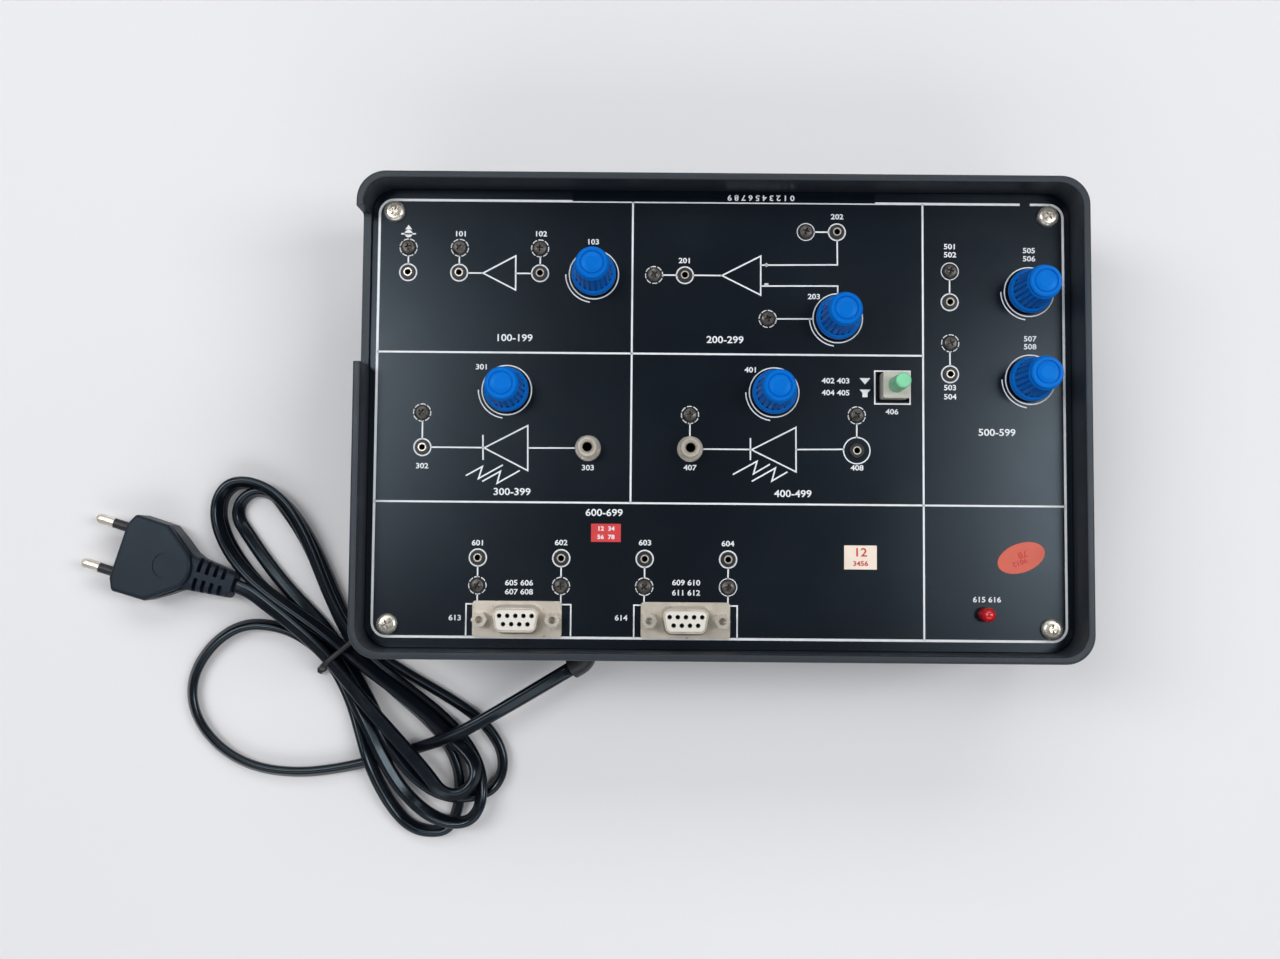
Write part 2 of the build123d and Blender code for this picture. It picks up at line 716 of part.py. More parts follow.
# Fibre receptacles: housing on the board, threaded barrel through the panel, rounded nut
with BuildPart() as receptacle:
    with Locations((0, 0, BOARD_Z)):
        Cylinder(HOUSING_R, PANEL_UNDER - BOARD_Z, align=UP)
        Cylinder(RECEPTACLE_R, RECEPTACLE_TOP - BOARD_Z, align=UP)
        Cylinder(DIODE_R + 0.05, DIODE_H, align=UP, mode=Mode.SUBTRACT)
        Cylinder(FIBRE_BORE_R, RECEPTACLE_TOP - BOARD_Z, align=UP, mode=Mode.SUBTRACT)
    with Locations((0, 0, RECEPTACLE_TOP)):
        Cone(FIBRE_BORE_R, FIBRE_BORE_R + 0.9, 0.9, align=DOWN, mode=Mode.SUBTRACT)
fibre_receptacles = repeated(receptacle, RECEPTACLES)
fibre_receptacles.part.label = "fibre_receptacles"

with BuildPart() as receptacle_nut:
    with Locations((0, 0, PANEL_Z)):
        Cylinder(RECEPTACLE_NUT_R, RECEPTACLE_NUT_H, align=UP)
    chamfer(receptacle_nut.edges().group_by(Axis.Z)[-1], 0.45)
    with BuildSketch(Plane.XY.offset(PANEL_Z + 0.8)):
        with Locations((0, RECEPTACLE_NUT_R), (0, -RECEPTACLE_NUT_R)):
            Rectangle(2 * RECEPTACLE_NUT_R, 0.8)
    extrude(amount=RECEPTACLE_NUT_H, mode=Mode.SUBTRACT)
    with Locations((0, 0, PANEL_Z)):
        Cylinder(RECEPTACLE_R + 0.03, RECEPTACLE_NUT_H, align=UP, mode=Mode.SUBTRACT)
receptacle_nuts = repeated(receptacle_nut, RECEPTACLES)
receptacle_nuts.part.label = "receptacle_nuts"

with BuildPart() as diode:
    with Locations((0, 0, BOARD_Z + 0.4)):
        Cylinder(DIODE_R, DIODE_H - 0.5, align=UP)
    fillet(diode.edges().group_by(Axis.Z)[-1], 0.4)
    with Locations(*at([(-1.27, 0), (1.27, 0)], BOARD_UNDER - 0.6)):
        Cylinder(LEAD_R, BOARD_T + 1.2, align=UP)
optical_diodes = repeated(diode, RECEPTACLES)
optical_diodes.part.label = "optical_diodes"

# Push-button: cream block, flanged plunger, return spring and round cap
with BuildPart() as switch_body:
    with Locations((*SWITCH, BOARD_Z)):
        Box(BLOCK, BLOCK, BLOCK_TOP - BOARD_Z, align=UP)
    fillet(switch_body.edges().filter_by(Axis.Z), 0.6)
    with Locations((*SWITCH, SWITCH_FLOOR)):
        Cylinder(SWITCH_CAVITY_R, BLOCK_TOP - BLOCK_PLATE - SWITCH_FLOOR, align=UP, mode=Mode.SUBTRACT)
    with Locations((*SWITCH, BLOCK_TOP)):
        Cylinder(BUTTON_HOLE_R, BLOCK_PLATE, align=DOWN, mode=Mode.SUBTRACT)
switch_body.part.label = "switch_body"

plunger_top = BLOCK_TOP - BLOCK_PLATE - 0.05
with BuildPart() as switch_plunger:
    with Locations((*SWITCH, PLUNGER_UNDER)):
        Cylinder(PLUNGER_R, plunger_top - PLUNGER_UNDER, align=UP)
        Cylinder(STEM_R, 11.0, align=UP)
switch_plunger.part.label = "switch_plunger"

with BuildPart() as switch_cap:
    with Locations((*SWITCH, plunger_top)):
        Cylinder(BUTTON_R, BUTTON_TOP - plunger_top, align=UP)
    fillet(switch_cap.edges().group_by(Axis.Z)[-1], 0.8)
    with Locations((*SWITCH, plunger_top)):
        Cylinder(STEM_R + 0.03, 9.5, align=UP, mode=Mode.SUBTRACT)
switch_cap.part.label = "switch_cap"

spring_low = SWITCH_FLOOR + SPRING_WIRE_R
spring_high = PLUNGER_UNDER - SPRING_WIRE_R
with BuildPart() as switch_spring:
    with BuildLine() as coil_line:
        Helix(
            (spring_high - spring_low) / SPRING_TURNS,
            spring_high - spring_low,
            SPRING_R,
            center=(*SWITCH, spring_low),
        )
    with BuildSketch(Plane(origin=coil_line.line @ 0, z_dir=coil_line.line % 0)):
        Circle(SPRING_WIRE_R)
    sweep(path=coil_line.line, is_frenet=True)
switch_spring.part.label = "switch_spring"

# Indicator lamp with its two leads
with BuildPart() as indicator_lamp:
    with Locations((*LAMP, PANEL_UNDER)):
        Cylinder(LAMP_R + 0.4, 1.0, align=DOWN)
    with Locations((*LAMP, PANEL_UNDER - 1.0)):
        Cylinder(LAMP_R, PANEL_Z + 6.0 - PANEL_UNDER + 1.0, align=UP)
    fillet(indicator_lamp.edges().group_by(Axis.Z)[-1], LAMP_R - 0.05)
    with Locations(*at([(LAMP[0] - 1.27, LAMP[1]), (LAMP[0] + 1.27, LAMP[1])], BOARD_UNDER - 0.6)):
        Cylinder(LEAD_R, PANEL_UNDER - 1.0 - BOARD_UNDER + 0.6, align=UP)
indicator_lamp.part.label = "indicator_lamp"

# Nine-way connectors: flanged shell, insulator, contacts, hexagonal jack posts and nuts
with BuildPart() as d_shell:
    with BuildSketch(Plane.XY.offset(PANEL_Z)):
        RectangleRounded(FLANGE_W, FLANGE_D, 1.2)
        with Locations((-JACK_X, 0), (JACK_X, 0)):
            Circle(THREAD_HOLE_R, mode=Mode.SUBTRACT)
    extrude(amount=FLANGE_T)
    with BuildSketch(Plane.XY.offset(PANEL_Z + FLANGE_T)):
        add(d_outline(D_SHOULDER).sketch)
    extrude(amount=D_SHOULDER)
    chamfer(d_shell.edges().group_by(Axis.Z)[-1], D_SHOULDER - 0.05)
    with BuildSketch(Plane.XY.offset(PANEL_Z)):
        add(d_outline(0).sketch)
    extrude(amount=D_TOP - PANEL_Z)
    with BuildSketch(Plane.XY.offset(PANEL_Z)):
        add(d_outline(-D_WALL).sketch)
    extrude(amount=D_TOP - PANEL_Z, mode=Mode.SUBTRACT)
dsub_shells = repeated(d_shell, CONNECTORS)
dsub_shells.part.label = "dsub_shells"

holes = [(PIN_PITCH * (i - 2), ROW_PITCH / 2) for i in range(5)]
holes += [(PIN_PITCH * (i - 1.5), -ROW_PITCH / 2) for i in range(4)]
with BuildPart() as d_insulator:
    with BuildSketch(Plane.XY.offset(PANEL_Z - 7.0)):
        add(d_outline(-D_WALL - 0.1).sketch)
    extrude(amount=D_TOP - 0.4 - PANEL_Z + 7.0)
    with Locations(*at(holes, PANEL_Z - 7.0)):
        Cylinder(0.8, 20.0, align=UP, mode=Mode.SUBTRACT)
dsub_insulators = repeated(d_insulator, CONNECTORS)
dsub_insulators.part.label = "dsub_insulators"

with BuildPart() as d_contacts:
    with Locations(*at(holes, BOARD_Z)):
        Cylinder(0.75, D_TOP - 1.2 - BOARD_Z, align=UP)
    with Locations(*at(holes, D_TOP - 1.2)):
        Cylinder(0.55, 5.0, align=DOWN, mode=Mode.SUBTRACT)
dsub_contacts = repeated(d_contacts, CONNECTORS)
dsub_contacts.part.label = "dsub_contacts"

with BuildPart() as jack_post:
    with BuildSketch(Plane.XY.offset(PANEL_Z + FLANGE_T)):
        RegularPolygon(JACK_FLAT / 2, 6, major_radius=False)
    extrude(amount=JACK_TOP - PANEL_Z - FLANGE_T)
    with Locations((0, 0, PANEL_Z + FLANGE_T)):
        Cylinder(THREAD_R, 9.0, align=DOWN)
    with Locations((0, 0, JACK_TOP)):
        Cylinder(JACK_BORE_R, 4.5, align=DOWN, mode=Mode.SUBTRACT)
jack_places = [(x + s * JACK_X, y) for x, y in CONNECTORS for s in (-1, 1)]
dsub_jack_posts = repeated(jack_post, jack_places)
dsub_jack_posts.part.label = "dsub_jack_posts"
dsub_nuts = repeated(hex_nut(M3_FLAT, PANEL_UNDER - M3_NUT_H, M3_NUT_H, THREAD_HOLE_R), jack_places)
dsub_nuts.part.label = "dsub_nuts"

# Labels stuck on the panel
with BuildPart() as title_strip:
    with Locations((0.9, 78.1, PANEL_Z)):
        Box(106.4, 3.4, LABEL_T, align=UP)
title_strip.part.label = "title_strip"
with BuildPart() as red_label:
    with Locations((-39.4, -40.1, PANEL_Z)):
        Box(10.3, 6.3, LABEL_T, align=UP)
red_label.part.label = "red_label"
with BuildPart() as white_label:
    with Locations((48.8, -47.9, PANEL_Z)):
        Box(11.3, 8.3, LABEL_T, align=UP)
white_label.part.label = "white_label"
with BuildPart() as oval_label:
    with BuildSketch(Plane.XY.offset(PANEL_Z)):
        with Locations((104.4, -47.6)):
            Ellipse(8.5, 5.0, rotation=20)
    extrude(amount=LABEL_T)
oval_label.part.label = "oval_label"

# Cord bushing: an elbow with a flange on each side of the wall
outlet_size = math.sqrt(sum(c * c for c in OUTLET))
outlet_dir = Vector(*OUTLET) / outlet_size
bend = Vector(GLAND_X, GLAND_BEND_Y, GLAND_Z)
outlet_end = bend + outlet_dir * OUTLET_LEG
with BuildPart() as cord_bushing:
    with BuildLine() as elbow:
        FilletPolyline((GLAND_X, GLAND_INSIDE, GLAND_Z), tuple(bend), tuple(outlet_end), radius=5.0)
    elbow_line = elbow.wires()[0]
    with BuildSketch(Plane(origin=elbow_line @ 0, z_dir=elbow_line % 0)):
        Circle(GLAND_R)
    sweep(path=elbow_line)
    with BuildSketch(Plane.XZ.offset(76.5)):
        with Locations((GLAND_X, GLAND_Z)):
            Circle(GLAND_FLANGE_R)
    extrude(amount=2.9)
    with BuildSketch(Plane.XZ.offset(82.7)):
        with Locations((GLAND_X, GLAND_Z)):
            Circle(GLAND_FLANGE_R)
    extrude(amount=1.4)
cord_bushing.part.label = "cord_bushing"


def lobe(side, reach, v_in, v_out, heights, limb=41.0):
    """Stations round one loop of the hank: limb, wide, tip, wide, limb."""
    half = abs(v_out - v_in) / 2
    middle = (v_in + v_out) / 2
    wide = side * (reach - half)
    turn = 1 if v_out > v_in else -1
    plan = [
        (side * limb, v_in, side, 0),
        (wide, v_in, side, 0),
        (side * reach, middle, 0, turn),
        (wide, v_out, -side, 0),
        (side * limb, v_out, -side, 0),
    ]
    return [((u, v, z), (tu, tv)) for (u, v, tu, tv), z in zip(plan, heights)]


def waist(v, z, side):
    """Station where a strand passes through the tie."""
    return [((0.0, v, z), (side, 0))]


def hank_stations():
    """Stations of the tied cord in the hank's own frame: u along the loops, v across them."""
    low = LAYER_1
    mid = LAYER_2
    stations = [((-13.0, -10.4, low), (0.93, 0.37))]
    stations += waist(-5.6, low, 1) + lobe(1, 79.0, -14.0, 14.5, (6.9, 4.2, low, low, low))
    stations += waist(4.75, low, -1) + lobe(-1, 71.0, 8.4, -4.6, (low,) * 5, limb=34.0)
    stations += waist(-0.05, low, 1) + lobe(1, 76.5, -3.9, 32.6, (7.6, 8.4, 6.4, low, 3.6))
    stations += waist(12.9, mid, -1)
    stations += lobe(-1, 80.5, 14.4, -14.0, (mid, mid, mid, 4.8, 3.4), limb=34.0)
    stations += [((-21.5, -11.15, 6.7), (0.892, 0.452))]
    stations += waist(-2.8, mid, 1) + lobe(1, 80.5, -8.75, 26.2, (8.3, 7.6, 10.5, 9.8, 3.0))
    stations += waist(9.7, low, -1)
    stations += lobe(-1, 77.5, 13.7, -9.2, (low, low, low, 3.6, 6.8), limb=36.0)
    stations += waist(2.2, mid, 1) + lobe(1, 69.0, 1.2, 20.2, (8.8, 7.8, 7.1, 5.6, 4.0))
    stations += [((9.0, 7.4, 9.4), (-1, -0.15))]
    stations += [((-4.0, 2.2, LAYER_3 + 0.1), (-0.92, -0.5))]
    stations += [((-17.0, -6.9, 11.6), (-0.84, -0.54))]
    return stations


def rise(u):
    """Lift of the bundle over the tie that passes beneath it."""
    reach = 16.0
    return HANK_RISE * math.cos(math.pi * u / (2 * reach)) ** 2 if abs(u) < reach else 0.0


def hank_frames():
    """Position and direction at each station, in the part's frame."""
    stations = hank_stations()
    points = [(u, v, z + rise(u)) for (u, v, z), way in stations]
    plan = [0.0]
    for a, b in zip(points, points[1:]):
        plan.append(plan[-1] + 1.05 * math.hypot(b[0] - a[0], b[1] - a[1]))
    frames = []
    for i, (u, v, z) in enumerate(points):
        slope = 0.0
        if 0 < i < len(points) - 1:
            before = (z - points[i - 1][2]) / (plan[i] - plan[i - 1])
            after = (points[i + 1][2] - z) / (plan[i + 1] - plan[i])
            if before * after > 0:
                slope = 2 * before * after / (before + after)
        tu, tv = stations[i][1]
        size = math.hypot(tu, tv)
        frames.append((hank_place(u, v, z), hank_turn(tu / size, tv / size, slope).normalized()))
    return frames


def hank_turn(u, v, z):
    c = math.cos(HANK_ANGLE)
    s = math.sin(HANK_ANGLE)
    return Vector(u * c - v * s, u * s + v * c, z)


def hank_place(u, v, z):
    return Vector(HANK_X, HANK_Y, 0) + hank_turn(u, v, z)


def biarc_joint(p0, t0, p1, t1):
    """Point where two tangent arcs from one station to the next meet, with its direction."""
    v = p1 - p0
    t = t0 + t1
    fold = 2 * (1 - t0.dot(t1))
    if fold < 1e-9:
        d = v.dot(v) / (4 * v.dot(t1))
    else:
        d = (math.sqrt(v.dot(t) ** 2 + fold * v.dot(v)) - v.dot(t)) / fold
    joint = (p0 + p1 + (t0 - t1) * d) * 0.5
    return joint, (joint - p0 - t0 * d).normalized()


def arc_samples(p, t, q, count):
    """Points on the arc from p along t to q."""
    chord = q - p
    along = chord.dot(t)
    across = chord - t * along
    if across.length < 1e-6:
        return [p + chord * (k / count) for k in range(1, count + 1)], math.inf
    radius = chord.dot(chord) / (2 * across.length)
    side = across.normalized()
    angle = math.atan2(along, radius - across.length) % (2 * math.pi)
    steps = [angle * k / count for k in range(1, count + 1)]
    return [p + t * (radius * math.sin(a)) + side * (radius * (1 - math.cos(a))) for a in steps], radius


frames = hank_frames()
hank_edges = []
hank_samples = [frames[0][0]]
hank_radii = []
for (p0, t0), (p1, t1) in zip(frames, frames[1:]):
    joint, joint_dir = biarc_joint(p0, t0, p1, t1)
    for start, way, end in ((p0, t0, joint), (joint, joint_dir, p1)):
        points, radius = arc_samples(start, way, end, 12)
        hank_radii.append(radius)
        hank_samples += points
        if radius > 5000:
            hank_edges.append(Edge.make_line(start, end))
        else:
            hank_edges.append(Edge.make_three_point_arc(start, points[5], end))

run = [0.0]
for a, b in zip(hank_samples, hank_samples[1:]):
    run.append(run[-1] + (b - a).length)
least = min(
    (a - b).length
    for (i, a), (j, b) in (
        (pair_a, pair_b)
        for pair_a in enumerate(hank_samples)
        for pair_b in enumerate(hank_samples[pair_a[0] + 1:], pair_a[0] + 1)
    )
    if run[j] - run[i] > 18.0
)
print("hank length", round(run[-1], 1), "least radius", round(min(hank_radii), 1))
print("hank least gap to itself", round(least - TUBE, 2))
print("hank lowest", round(min(p.Z for p in hank_samples) - TUBE / 2, 2))

# Short straight ends, one diameter long, at both ends of the hank
hank_in = frames[0][0] - frames[0][1] * TUBE
hank_out = frames[-1][0] + frames[-1][1] * TUBE
hank_edges.insert(0, Edge.make_line(hank_in, frames[0][0]))
hank_edges.append(Edge.make_line(frames[-1][0], hank_out))
with BuildPart() as cord_hank:
    hank_line = Wire(hank_edges)
    with BuildSketch(Plane(origin=hank_in, z_dir=frames[0][1])):
        Circle(TUBE / 2)
    sweep(path=hank_line)
print("hank volume", round(cord_hank.part.volume / (math.pi * (TUBE / 2) ** 2 * hank_line.length), 4))
cord_hank.part.label = "cord_hank"

# Free cord from the bushing over and under the loops, round the floor and into the tie
GLAND_RUN = [
    (-82.0, -108.3, 13.9),
    (-97.8, -117.2, 10.2),
    (-112.5, -122.8, 4.1),
    (-127.5, -127.6, LAYER_1),
    (-143.5, -131.4, LAYER_1),
    (-160.0, -133.2, LAYER_1),
    (-177.0, -131.0, LAYER_1),
    (-191.0, -123.0, LAYER_1),
    (-200.3, -110.5, LAYER_1),
    (-201.3, -96.5, LAYER_1),
    (-193.5, -83.4, LAYER_1),
    (-181.5, -75.6, LAYER_1),
]
last_corner = hank_in - frames[0][1] * 7.0
first_corner = outlet_end + outlet_dir * 16.0
gland_route = [tuple(outlet_end), tuple(first_corner)] + GLAND_RUN
gland_route += [tuple(last_corner), tuple(hank_in)]
cord_from_case = tube(gland_route, TUBE / 2, "cord_from_case")
cord_from_case.part.label = "cord_from_case"

# Plug frame: s runs back from the front face towards the cord, t across
plug_way = Vector(math.cos(math.radians(PLUG_ANGLE)), math.sin(math.radians(PLUG_ANGLE)), 0)
plug_plane = Plane(origin=(PLUG_X, PLUG_Y, 0), x_dir=-plug_way, z_dir=(0, 0, 1))
relief_end = Vector(PLUG_X, PLUG_Y, PLUG_Z) - plug_way * PLUG_L
before_plug = relief_end - plug_way * 5.0
after_hank = hank_out + frames[-1][1] * 4.0
over_loop = after_hank + (before_plug - after_hank) * 0.45 + Vector(0, 0, 0.9)
plug_route = [tuple(p) for p in (hank_out, after_hank, over_loop, before_plug, relief_end)]
cord_to_plug = tube(plug_route, TUBE / 2, "cord_to_plug")
cord_to_plug.part.label = "cord_to_plug"

# Tie round the middle of the hank: a flat strip following the bundle's hull
BUNDLE = [
    (-5.6, LAYER_1),
    (-0.05, LAYER_1),
    (4.75, LAYER_1),
    (9.7, LAYER_1),
    (12.9, LAYER_2),
    (4.9, LAYER_3),
    (3.7, LAYER_3),
    (-2.8, LAYER_2),
]
tie_plane = Plane(
    origin=(HANK_X, HANK_Y, HANK_RISE), x_dir=hank_turn(0, 1, 0), z_dir=hank_turn(1, 0, 0)
)


def bundle_hull(radius):
    with BuildSketch() as hull:
        with Locations(*BUNDLE):
            Circle(radius)
        make_hull()
    return hull


with BuildPart() as twist_tie:
    with BuildSketch(tie_plane):
        add(bundle_hull(TUBE / 2 + TIE_GAP + TIE_T).sketch)
        add(bundle_hull(TUBE / 2 + TIE_GAP).sketch, mode=Mode.SUBTRACT)
    extrude(amount=TIE_W / 2, both=True)
twist_tie.part.label = "twist_tie"

# Plug: raised body rounded behind, lower ledge, tapering ribbed relief, round recess
PLUG_FRONT = [(0, 10.7), (2.2, 15.3), (15.5, 15.1)]
LEDGE_BACK = [(21.0, 11.6), (26.5, 7.6), (31.0, 5.9)]
with BuildSketch() as ledge_face:
    with BuildLine():
        upper = PLUG_FRONT + LEDGE_BACK
        Polyline(*upper, *[(s, -t) for s, t in reversed(upper)], close=True)
    make_face()
with BuildSketch() as raised_face:
    with BuildLine():
        Polyline(*PLUG_FRONT, *[(s, -t) for s, t in reversed(PLUG_FRONT)], close=True)
    make_face()
    with Locations((BOSS_S, 0)):
        Circle(BOSS_END_R)
    make_hull()
relief_axis = Plane(origin=(PLUG_X, PLUG_Y, PLUG_Z), x_dir=(0, 0, 1), z_dir=-plug_way)
with BuildPart() as plug_body:
    with BuildSketch(plug_plane.offset(PLUG_LOW)):
        add(ledge_face.sketch)
    extrude(amount=LEDGE_H)
    with BuildSketch(plug_plane.offset(PLUG_LOW)):
        add(raised_face.sketch)
    extrude(amount=PLUG_T)
    fillet(plug_body.edges().filter_by(Axis.Z).group_by(Edge.length)[-1], 1.6)
    fillet(plug_body.faces().sort_by(Axis.Z)[-1].edges(), 1.5)
    fillet(plug_body.faces().sort_by(Axis.Z)[0].edges(), 2.0)
    with BuildSketch(relief_axis.offset(RELIEF_ROOT)):
        RectangleRounded(10.4, 14.4, 3.2)
    with BuildSketch(relief_axis.offset(PLUG_L)):
        RectangleRounded(8.2, 9.8, 2.6)
    loft()
    slot_s = [RELIEF_S0 + RELIEF_STEP * i for i in range(RELIEF_SLOTS)]
    slots = [(s, side * 5.0, PLUG_Z + lift) for s in slot_s for side in (-1, 1) for lift in (-4.4, 4.4)]
    with Locations(*[plug_plane.location * Location(p) for p in slots]):
        Box(1.5, 7.6, 5.4, mode=Mode.SUBTRACT)
    with Locations(plug_plane.location * Location((BOSS_S, 0, PLUG_LOW + PLUG_T))):
        Cylinder(5.0, 0.4, align=DOWN, mode=Mode.SUBTRACT)
    with Locations(*[relief_axis.location * Location((0, side * PIN_Y, 0)) for side in (-1, 1)]):
        Cylinder(PIN_CORE_R + 0.03, PIN_ROOT, align=UP, mode=Mode.SUBTRACT)
plug_body.part.label = "plug_body"

pin_seats = [relief_axis.location * Location((0, side * PIN_Y, 0)) for side in (-1, 1)]
with BuildPart() as plug_pins:
    with Locations(*pin_seats):
        with Locations((0, 0, -SLEEVE_OUT)):
            Cylinder(PIN_CORE_R, SLEEVE_OUT + PIN_ROOT - 0.2, align=UP)
        with Locations((0, 0, -PIN_OUT + PIN_R)):
            Cylinder(PIN_R, PIN_OUT - PIN_R - SLEEVE_OUT, align=UP)
            Sphere(PIN_R)
plug_pins.part.label = "plug_pins"

with BuildPart() as pin_sleeves:
    with Locations(*pin_seats):
        Cylinder(SLEEVE_R, SLEEVE_OUT, align=DOWN)
        Cylinder(PIN_CORE_R + 0.02, SLEEVE_OUT, align=DOWN, mode=Mode.SUBTRACT)
pin_sleeves.part.label = "pin_sleeves"

pieces = [
    case_shell, rubber_feet, foot_screws, front_panel, panel_screws, circuit_board,
    terminal_screws, terminal_spacers, terminal_nuts, transformer_core, transformer_coil,
    transformer_strap, transformer_screws, transformer_nuts, mains_leads, secondary_leads,
    filter_capacitors, dip_ics, potentiometer_bodies, potentiometer_washers, potentiometer_nuts,
    socket_collars, socket_contacts, fibre_receptacles, receptacle_nuts, optical_diodes,
    switch_body, switch_plunger, switch_cap, switch_spring, indicator_lamp, dsub_shells,
    dsub_insulators, dsub_contacts, dsub_jack_posts, dsub_nuts, title_strip, red_label,
    white_label, oval_label, cord_bushing, cord_from_case, cord_hank, cord_to_plug, twist_tie,
    plug_body, plug_pins, pin_sleeves,
]
pieces += list(knobs.values()) + list(shafts.values())
os.makedirs("parts", exist_ok=True)
for piece in pieces:
    export_step(piece.part, f"parts/{piece.part.label}.step")
print(len(pieces), "pieces")
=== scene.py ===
import bpy
import bmesh
import math
from mathutils import Matrix, Vector


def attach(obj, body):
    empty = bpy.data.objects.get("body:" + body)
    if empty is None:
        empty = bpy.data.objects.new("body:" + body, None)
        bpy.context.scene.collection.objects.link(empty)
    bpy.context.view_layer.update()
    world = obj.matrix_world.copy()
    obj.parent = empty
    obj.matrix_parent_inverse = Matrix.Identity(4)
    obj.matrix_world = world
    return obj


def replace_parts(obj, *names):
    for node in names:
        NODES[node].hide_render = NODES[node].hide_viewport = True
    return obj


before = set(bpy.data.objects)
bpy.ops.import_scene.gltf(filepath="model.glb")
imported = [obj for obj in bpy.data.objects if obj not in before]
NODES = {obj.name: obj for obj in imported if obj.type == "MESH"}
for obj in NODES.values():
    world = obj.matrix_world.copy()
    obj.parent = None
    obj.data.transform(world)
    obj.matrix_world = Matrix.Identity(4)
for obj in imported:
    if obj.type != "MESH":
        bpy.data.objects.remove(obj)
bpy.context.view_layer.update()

# Fibre optics trainer. Numbers below are millimetres in the part's own frame, and meshes are
# written in metres through MM.
MM = 0.001
PANEL_Z = 57.0

# Camera at the photograph's viewing angle
PHOTO_WIDTH = 1280.0
FOCAL_PX = 1235.0
SENSOR = 36.0
CLIP_START = 0.01
CAMERA_PLACE = (-0.0271, -0.0452, 0.4856)
CAMERA_TURN = (3.168, 0.060, 0.474)
camera_data = bpy.data.cameras.new("camera")
camera_data.sensor_width = SENSOR
camera_data.lens = FOCAL_PX / PHOTO_WIDTH * SENSOR
camera_data.clip_start = CLIP_START
camera = bpy.data.objects.new("camera", camera_data)
camera.location = CAMERA_PLACE
camera.rotation_euler = [math.radians(a) for a in CAMERA_TURN]
bpy.context.scene.collection.objects.link(camera)
bpy.context.scene.camera = camera
bpy.context.scene.view_settings.view_transform = "Standard"


# Procedural materials
GLOSS_SCALE = 2.6
FLECK_SCALE = 0.35
FLECK_FROM = (0.66, 0.74)
LEAST_ROUGH = 0.03
GRAIN_STRENGTH = 0.6
WAVE_STRENGTH = 0.5


def noise(tree, vector, scale, detail=2.0, rough=0.5):
    """Noise of a given scale, as a value socket."""
    node = tree.nodes.new("ShaderNodeTexNoise")
    node.inputs["Scale"].default_value = scale
    node.inputs["Detail"].default_value = detail
    node.inputs["Roughness"].default_value = rough
    tree.links.new(vector, node.inputs["Vector"])
    return node.outputs["Fac"]


def spread(tree, value, low, high, from_low=0.3, from_high=0.7):
    """A value's range stretched to run from low to high."""
    node = tree.nodes.new("ShaderNodeMapRange")
    node.inputs["From Min"].default_value = from_low
    node.inputs["From Max"].default_value = from_high
    node.inputs["To Min"].default_value = low
    node.inputs["To Max"].default_value = high
    tree.links.new(value, node.inputs["Value"])
    return node.outputs["Result"]


def blend_colors(tree, fac, a, b):
    """Mix of two colours by a value socket."""
    node = tree.nodes.new("ShaderNodeMix")
    node.data_type = "RGBA"
    node.inputs["A"].default_value = (*a, 1)
    node.inputs["B"].default_value = (*b, 1)
    tree.links.new(fac, node.inputs["Factor"])
    return node.outputs["Result"]


def add_bumps(tree, normal_in, layers):
    """Chain of bumps, each (height, distance in mm, strength), into one normal socket."""
    last = None
    for height, distance, strength in layers:
        bump = tree.nodes.new("ShaderNodeBump")
        bump.inputs["Distance"].default_value = distance * MM
        bump.inputs["Strength"].default_value = strength
        tree.links.new(height, bump.inputs["Height"])
        if last is not None:
            tree.links.new(last, bump.inputs["Normal"])
        last = bump.outputs["Normal"]
    tree.links.new(last, normal_in)


def finish(name, color, rough, metal=0.0, shade=0.1, patch=70.0, grain=1500.0, depth=0.02,
           rough_spread=0.05, coat=0.0, coat_rough=0.1, specular=0.5, sheen_tint=(1, 1, 1),
           stretch=(1, 1, 1), speck=None, wave=0.0):
    """Finish with patchy tint, uneven gloss and a fine surface grain (depth in mm).

    speck is the colour of small scattered flecks; wave is the depth of a slow unevenness.
    """
    mat = bpy.data.materials.new(name)
    mat.use_nodes = True
    tree = mat.node_tree
    bsdf = tree.nodes["Principled BSDF"]
    coords = tree.nodes.new("ShaderNodeTexCoord")
    mapping = tree.nodes.new("ShaderNodeMapping")
    mapping.inputs["Scale"].default_value = stretch
    tree.links.new(coords.outputs["Object"], mapping.inputs["Vector"])
    vector = mapping.outputs["Vector"]
    dark = [c * (1 - shade) for c in color]
    light = [min(1.0, c * (1 + shade)) for c in color]
    tint = spread(tree, noise(tree, vector, patch, 4.0), 0.0, 1.0)
    base = blend_colors(tree, tint, dark, light)
    if speck:
        flecks = spread(tree, noise(tree, vector, grain * FLECK_SCALE), 0.0, 1.0, *FLECK_FROM)
        mix = tree.nodes.new("ShaderNodeMix")
        mix.data_type = "RGBA"
        mix.inputs["B"].default_value = (*speck, 1)
        tree.links.new(base, mix.inputs["A"])
        tree.links.new(flecks, mix.inputs["Factor"])
        base = mix.outputs["Result"]
    tree.links.new(base, bsdf.inputs["Base Color"])
    gloss = noise(tree, vector, patch * GLOSS_SCALE, 5.0, 0.6)
    low = max(LEAST_ROUGH, rough - rough_spread)
    tree.links.new(spread(tree, gloss, low, rough + rough_spread), bsdf.inputs["Roughness"])
    layers = [(noise(tree, vector, grain, 3.0), depth, GRAIN_STRENGTH)]
    if wave:
        layers.append((noise(tree, vector, patch, 1.0), wave, WAVE_STRENGTH))
    add_bumps(tree, bsdf.inputs["Normal"], layers)
    bsdf.inputs["Metallic"].default_value = metal
    bsdf.inputs["Specular IOR Level"].default_value = specular
    bsdf.inputs["Specular Tint"].default_value = (*sheen_tint, 1)
    bsdf.inputs["Coat Weight"].default_value = coat
    bsdf.inputs["Coat Roughness"].default_value = coat_rough
    return mat


